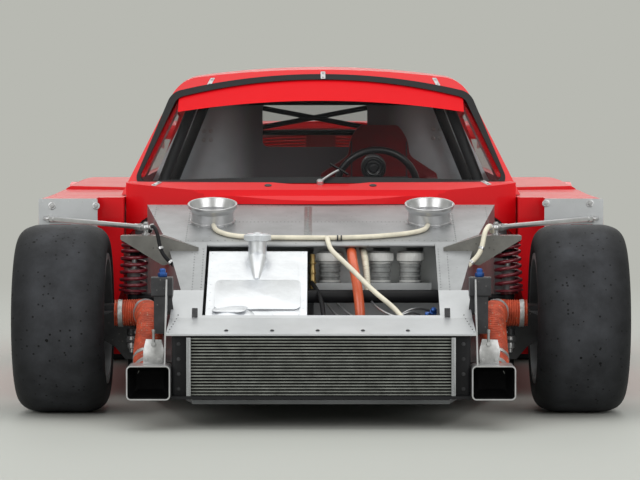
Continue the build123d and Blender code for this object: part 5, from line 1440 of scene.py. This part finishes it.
class RACECAR_OT_seat(bpy.types.Operator):
    """Replaces the seat by a padded cover, with its piping and sewn channels."""
    bl_idname = "racecar.seat"
    bl_label = "Seat"

    def execute(self, context):
        piece = hung("seat_cover", frame["nodes"]["seat"].data.copy(), (0.0, 0.0, 0.0))
        context.view_layer.objects.active = piece
        remesh = piece.modifiers.new("even", "REMESH")
        remesh.mode = "VOXEL"
        remesh.voxel_size = SEAT_VOXEL
        apply_modifiers(piece)
        shell = bmesh.new()
        shell.from_mesh(piece.data)
        for vertex in shell.verts:
            vertex.co -= vertex.normal * SEAT_SHRINK
            rise = max(0.0, (vertex.co.z - SEAT_HEAD[0]) / (SEAT_HEAD[1] - SEAT_HEAD[0]))
            narrowing = math.sqrt(1.0 - SEAT_HEAD_ROUND * min(1.0, rise) ** 2)
            vertex.co.x = SEAT_MIDDLE_X + (vertex.co.x - SEAT_MIDDLE_X) * narrowing
        shell.to_mesh(piece.data)
        shell.free()
        rest = [vertex.co.copy() for vertex in piece.data.vertices]
        stuff(piece, context.scene)
        for vertex, start in zip(piece.data.vertices, rest):
            moved = vertex.co - start
            if moved.length > SEAT_SWELL:
                vertex.co = start + moved * (SEAT_SWELL / moved.length)
        smooth = piece.modifiers.new("smooth", "SUBSURF")
        smooth.levels = 1
        apply_modifiers(piece)
        mesh = piece.data
        mesh.shade_smooth()
        mesh.materials.clear()
        mesh.materials.append(car_material("seat_cloth"))
        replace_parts(piece, "seat")
        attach(piece, "chassis")
        surface = BVHTree.FromPolygons([vertex.co for vertex in mesh.vertices],
                                       [polygon.vertices for polygon in mesh.polygons])
        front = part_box("seat")[0][1] - 0.3
        routes = [[(SEAT_MIDDLE_X + x, z) for z in spread(*PIPING_Z, 28)] for x in (-SEAT_HALF, SEAT_HALF)]
        routes += [[(SEAT_MIDDLE_X + x, z) for x in spread(-SEAT_HALF, SEAT_HALF, 21)] for z in SEAT_SEAM_Z]
        with piece_of("seat_piping", "belt_web", "seat_fabric") as bm:
            for route in routes:
                points = []
                for x, z in route:
                    found = struck(surface, (x, front, z), BACK)
                    if found and (not points or (found[0] - points[-1]).length < 0.05):
                        points.append(found[0] + found[1] * 0.0004)
                if len(points) > 3:
                    add_tube(bm, points, 0.0026, 8)
        return {"FINISHED"}


STEER_AXIS = Vector((0.0, -0.96593, -0.25882))
POD_PLACE = (0.186, 0.905, 0.784)
POD_PROFILE = (  # radius, distance along the axis
    (0.0, -0.045), (0.036, -0.042), (0.043, -0.034), (0.0445, -0.010), (0.0445, 0.018), (0.041, 0.022),
    (0.038, 0.019), (0.034, 0.025), (0.029, 0.021), (0.024, 0.030), (0.017, 0.027), (0.012, 0.036), (0.0, 0.037),
)
POD_STALK = ((0.016, -0.060), (0.012, -0.048), (0.012, -0.030))
BOSS_PLATES = (("boss_front", 1, 0.013), ("boss_rear", -1, 0.030))  # name, way along the axis, distance
BOSS_RINGS = ((0.040, 0.0022), (0.028, 0.0020), (0.017, 0.0018))  # radius, wire
HOOD_X = 0.2045
GAUGE_RIM = ((0.0235, -0.020), (0.0235, 0.004), (0.0215, 0.006), (0.0205, 0.004))
GAUGE_DIAL = ((0.0203, 0.0), (0.0203, 0.002), (0.0, 0.0022))
GAUGES = ((-0.052, 0.700), (0.0, 0.704), (0.052, 0.700))  # across from the hood's middle, height
BULKHEAD_BOLTS = ((204, 131), (211, 131), (204, 140), (211, 140), (433, 129), (440, 129), (433, 138), (440, 138))


class RACECAR_OT_cabin_trim(bpy.types.Operator):
    """Adds the rings and bolts of the steering boss, the gauges and the bulkhead's bolts."""
    bl_idname = "racecar.cabin_trim"
    bl_label = "Cabin trim"

    def execute(self, context):
        for name, sign, distance in BOSS_PLATES:
            axis = STEER_AXIS * sign
            where = aimed(JOINTS["steering_turn"] + axis * distance, axis)
            with piece_of(name, "machined_metal", "black_parts", "steering") as bm:
                for radius, wire in BOSS_RINGS:
                    add_ring(bm, where.translation, axis, radius, wire, 48)
                for x, y in circle(6, 0.034):
                    add_bolt(bm, where @ Vector((x, y, 0.0)), axis, 0.0036)
        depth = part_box("dashboard")[1][1] - 0.020
        gauges = [aimed((HOOD_X + across, depth, z), (0, 1, 0.1)) for across, z in GAUGES]
        with piece_of("gauge_rims", "grip_leather", "black_parts") as bm:
            for where in gauges:
                add_turned(bm, GAUGE_RIM, where, 32)
            add_turned(bm, POD_PROFILE, aimed(at(*POD_PLACE), (0, -1, -0.15)), 40)
            add_turned(bm, POD_STALK, aimed(at(*POD_PLACE), UP), 16)
        with piece_of("gauge_dials", "dial_face", "black_parts") as bm:
            for where in gauges:
                add_turned(bm, GAUGE_DIAL, where, 32)
        bulkhead = skin("rear_bulkhead")
        with piece_of("bulkhead_bolts", *BRIGHT) as bm:
            for column, row in BULKHEAD_BOLTS:
                add_bolt(bm, *seen(bulkhead, column, row), 0.0060)
        return {"FINISHED"}


# Wheels, doors and tail
WHEELS = (  # corner, body, side
    ("front_left", "wheel_fl", 1),
    ("front_right", "wheel_fr", -1),
    ("rear_left", "wheel_rl", 1),
    ("rear_right", "wheel_rr", -1),
)
RIM_BOLTS = 20
RIM_BOLT_CIRCLE = 0.172
LIP_RIVETS = 40
LIP_CIRCLE = 0.197
WHEEL_NUT = ((0.024, -0.003), (0.024, 0.003), (0.020, 0.006), (0.016, 0.004), (0.0, 0.004))
NUT_PIN = ((0.0028, 0.0), (0.0028, 0.003), (0.0, 0.0035))
VALVE = ((0.0040, -0.002), (0.0040, 0.016), (0.0048, 0.018), (0.0048, 0.026), (0.0, 0.028))
VALVE_PLACE = (0.150, 0.085)  # behind and above the hub


def outer_side(box, sign):
    """The X of a box's outer side."""
    return box[1][0] if sign > 0 else box[0][0]


class RACECAR_OT_wheel_trim(bpy.types.Operator):
    """Adds the rim bolts, the centre nut, the valve and the lip's rivets of each wheel."""
    bl_idname = "racecar.wheel_trim"
    bl_label = "Wheel trim"

    def execute(self, context):
        for corner, body, sign in WHEELS:
            hub, out = JOINTS["spin_" + corner], Vector((sign, 0, 0))
            wheel = skin(f"wheel_{corner}")
            start_x = outer_side(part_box(f"wheel_{corner}"), sign) + sign * 0.2

            def rim_point(y, z):
                found = struck(wheel, (start_x, hub.y + y, hub.z + z), -out)
                return found and found[0]

            with piece_of(f"rim_fasteners_{corner}", "machined_metal", "rim_metal", body) as bm:
                for y, z in circle(RIM_BOLTS, RIM_BOLT_CIRCLE, 0.5):
                    place = rim_point(y, z)
                    if place:
                        add_bolt(bm, place, out, 0.0052, math.atan2(z, y))
                for y, z in circle(LIP_RIVETS, LIP_CIRCLE):
                    place = rim_point(y, z)
                    if place:
                        add_rivet(bm, place, out, 0.0026)
                nose = rim_point(0.0, 0.0)
                if nose:
                    where = aimed(nose, out)
                    add_turned(bm, WHEEL_NUT, where, 32)
                    add_studs(bm, where, 6, 0.020, 0.004, NUT_PIN, 10)
                valve = rim_point(*VALVE_PLACE)
                if valve:
                    add_turned(bm, VALVE, aimed(valve, (sign, 0.2, 0.1)), 14)
        return {"FINISHED"}


HANDLE_Z = 0.650
HANDLE_INSET = 0.110  # from the door's rear edge
HINGE_BOLT_Z = (0.28, 0.36, 0.56)


class RACECAR_OT_door_trim(bpy.types.Operator):
    """Adds the pull handles, hinge bolts and glass fasteners of the two doors."""
    bl_idname = "racecar.door_trim"
    bl_label = "Door trim"

    def execute(self, context):
        for side, sign in SIDES:
            door, (low, high) = skin(f"door_{side}"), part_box(f"door_{side}")
            start_x, inward = outer_side((low, high), sign) + sign * 0.3, (-sign, 0, 0)
            with piece_of(f"door_handle_{side}", "satin_black", "black_parts", f"{side}_door") as bm:
                place, normal = struck(door, (start_x, high[1] - HANDLE_INSET, HANDLE_Z), inward)
                where = facing(place, normal)
                add_plate(bm, rectangle(0.130, 0.038, 0.016, 5), where, 0.004, 0.0015)
                add_plate(bm, rectangle(0.092, 0.020, 0.009, 5), shifted(where, 0.006, 0.0, 0.003), 0.009, 0.003)
                for x in (-0.056, 0.056):
                    add_bolt(bm, where @ Vector((x, 0, 0.004)), normal, 0.0030)
            glass, (near, far) = skin(f"door_glass_{side}"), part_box(f"door_glass_{side}")
            with piece_of(f"door_fasteners_{side}", *BRIGHT, f"{side}_door") as bm:
                for z in HINGE_BOLT_Z:
                    fasten(bm, door, (start_x, low[1] + 0.030, z), inward, add_bolt, 0.0060)
                for y in spread(near[1] + 0.05, far[1] - 0.05, 9):
                    fasten(bm, glass, (start_x, y, near[2] + 0.018), inward, add_bolt, 0.0045)
        return {"FINISHED"}


LAMP_BOLTS = [(x, z) for z in (0.522, 0.648) for x in (0.55, 0.69, 0.83)]
TAIL_SEAM_Z = 0.685
EXHAUST_X, EXHAUST_Z = 0.290, 0.185
EXHAUST_RINGS = ((0.0, 0.043, 0.0032), (0.12, 0.0462, 0.0036))  # distance from the end, radius, wire
LID_PIN = ((0.018, 0.0), (0.018, 0.0015), (0.015, 0.003), (0.006, 0.003), (0.006, 0.012), (0.004, 0.014), (0.0, 0.014))
LID_PIN_X = 0.375
LID_PIN_SHARES = (0.12, 0.50, 0.88)  # of the lid's length


def add_lid_pin(bm, place, normal, _size):
    """A lid's push pin on its plate, with the ring through its head."""
    where = aimed(place, normal)
    add_turned(bm, LID_PIN, where, 24)
    add_ring(bm, where @ Vector((0.004, 0, 0.009)), (0, 1, 0.1), 0.007, 0.0010, 20)


class RACECAR_OT_tail_trim(bpy.types.Operator):
    """Adds the lamp ribs, the tail's fasteners, the exhaust rings and the lid's pins."""
    bl_idname = "racecar.tail_trim"
    bl_label = "Tail trim"

    def execute(self, context):
        lamps, (low, high) = skin("tail_lamps"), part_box("tail_lamps")
        with piece_of("lamp_ribs", "lamp_red", "lamp_red") as bm:
            for sign in SIGNS:
                for z in spread(low[2] + 0.012, high[2] - 0.012, 9):
                    hits = [struck(lamps, (sign * x, high[1] + 0.2, z), AHEAD) for x in spread(0.566, 0.8156, 27)]
                    points = [found[0] for found in hits if found]
                    if len(points) > 3:
                        add_tube(bm, points, 0.0026, 8)
        tail, exhaust_end = skin("tail_body"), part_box("exhausts")[1][1]
        with piece_of("tail_fasteners", *BRIGHT) as bm:
            for sign in SIGNS:
                for x, z in LAMP_BOLTS:
                    fasten(bm, tail, (sign * x, high[1] + 0.4, z), AHEAD, add_bolt, 0.0050)
                for y in spread(0.30, 1.725, 16):
                    fasten(bm, tail, (sign * 1.3, y, TAIL_SEAM_Z), (-sign, 0, 0), add_rivet, 0.0030, 0.6)
                for ahead, radius, wire in EXHAUST_RINGS:
                    add_ring(bm, (sign * EXHAUST_X, exhaust_end - ahead, EXHAUST_Z), BACK, radius, wire, 48)
        lid, (low, high) = skin("engine_lid"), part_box("engine_lid")
        wing, (wing_low, wing_high) = skin("rear_wing"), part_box("rear_wing")
        with piece_of("lid_pins", *BRIGHT, "rear_lid") as bm:
            for sign in SIGNS:
                for share in LID_PIN_SHARES:
                    y = low[1] + share * (high[1] - low[1])
                    fasten(bm, lid, (sign * LID_PIN_X, y, 1.4), DOWN, add_lid_pin)
                for y in (wing_low[1] + 0.06, wing_high[1] - 0.08):
                    fasten(bm, wing, (sign * 1.0, y, wing_high[2] - 0.06), (-sign, 0, 0), add_bolt, 0.0055)
        return {"FINISHED"}


STEPS = (
    RACECAR_OT_stage, RACECAR_OT_node_finishes, RACECAR_OT_deck_rivets, RACECAR_OT_shelf_screws,
    RACECAR_OT_tank_trim, RACECAR_OT_bay_fittings, RACECAR_OT_filler_trim, RACECAR_OT_brake_ducts,
    RACECAR_OT_springs, RACECAR_OT_tower_pipes, RACECAR_OT_strut_ends, RACECAR_OT_plate_bolts,
    RACECAR_OT_intakes, RACECAR_OT_radiator_trim, RACECAR_OT_hub_joints, RACECAR_OT_screen_trim,
    RACECAR_OT_seat, RACECAR_OT_cabin_trim, RACECAR_OT_wheel_trim, RACECAR_OT_door_trim,
    RACECAR_OT_tail_trim,
)


class RACECAR_PT_panel(bpy.types.Panel):
    """Lists the settings and the steps that dress the car."""
    bl_idname = "RACECAR_PT_panel"
    bl_label = "Race Car"
    bl_space_type = "VIEW_3D"
    bl_region_type = "UI"
    bl_category = "Race Car"

    def draw(self, context):
        for settings in (context.scene.race_car_finish, context.scene.race_car_studio):
            box = self.layout.box()
            for key in settings.__annotations__:
                box.prop(settings, key)
        for step in STEPS:
            self.layout.operator(step.bl_idname)


CLASSES = (RaceCarFinish, RaceCarStudio, *STEPS, RACECAR_PT_panel)


def register():
    for item in CLASSES:
        bpy.utils.register_class(item)
    bpy.types.Scene.race_car_finish = bpy.props.PointerProperty(type=RaceCarFinish)
    bpy.types.Scene.race_car_studio = bpy.props.PointerProperty(type=RaceCarStudio)


def unregister():
    del bpy.types.Scene.race_car_studio
    del bpy.types.Scene.race_car_finish
    for item in reversed(CLASSES):
        bpy.utils.unregister_class(item)


def main():
    register()
    for step in STEPS:
        family, action = step.bl_idname.split(".")
        getattr(getattr(bpy.ops, family), action)()


if __name__ == "__main__":
    main()
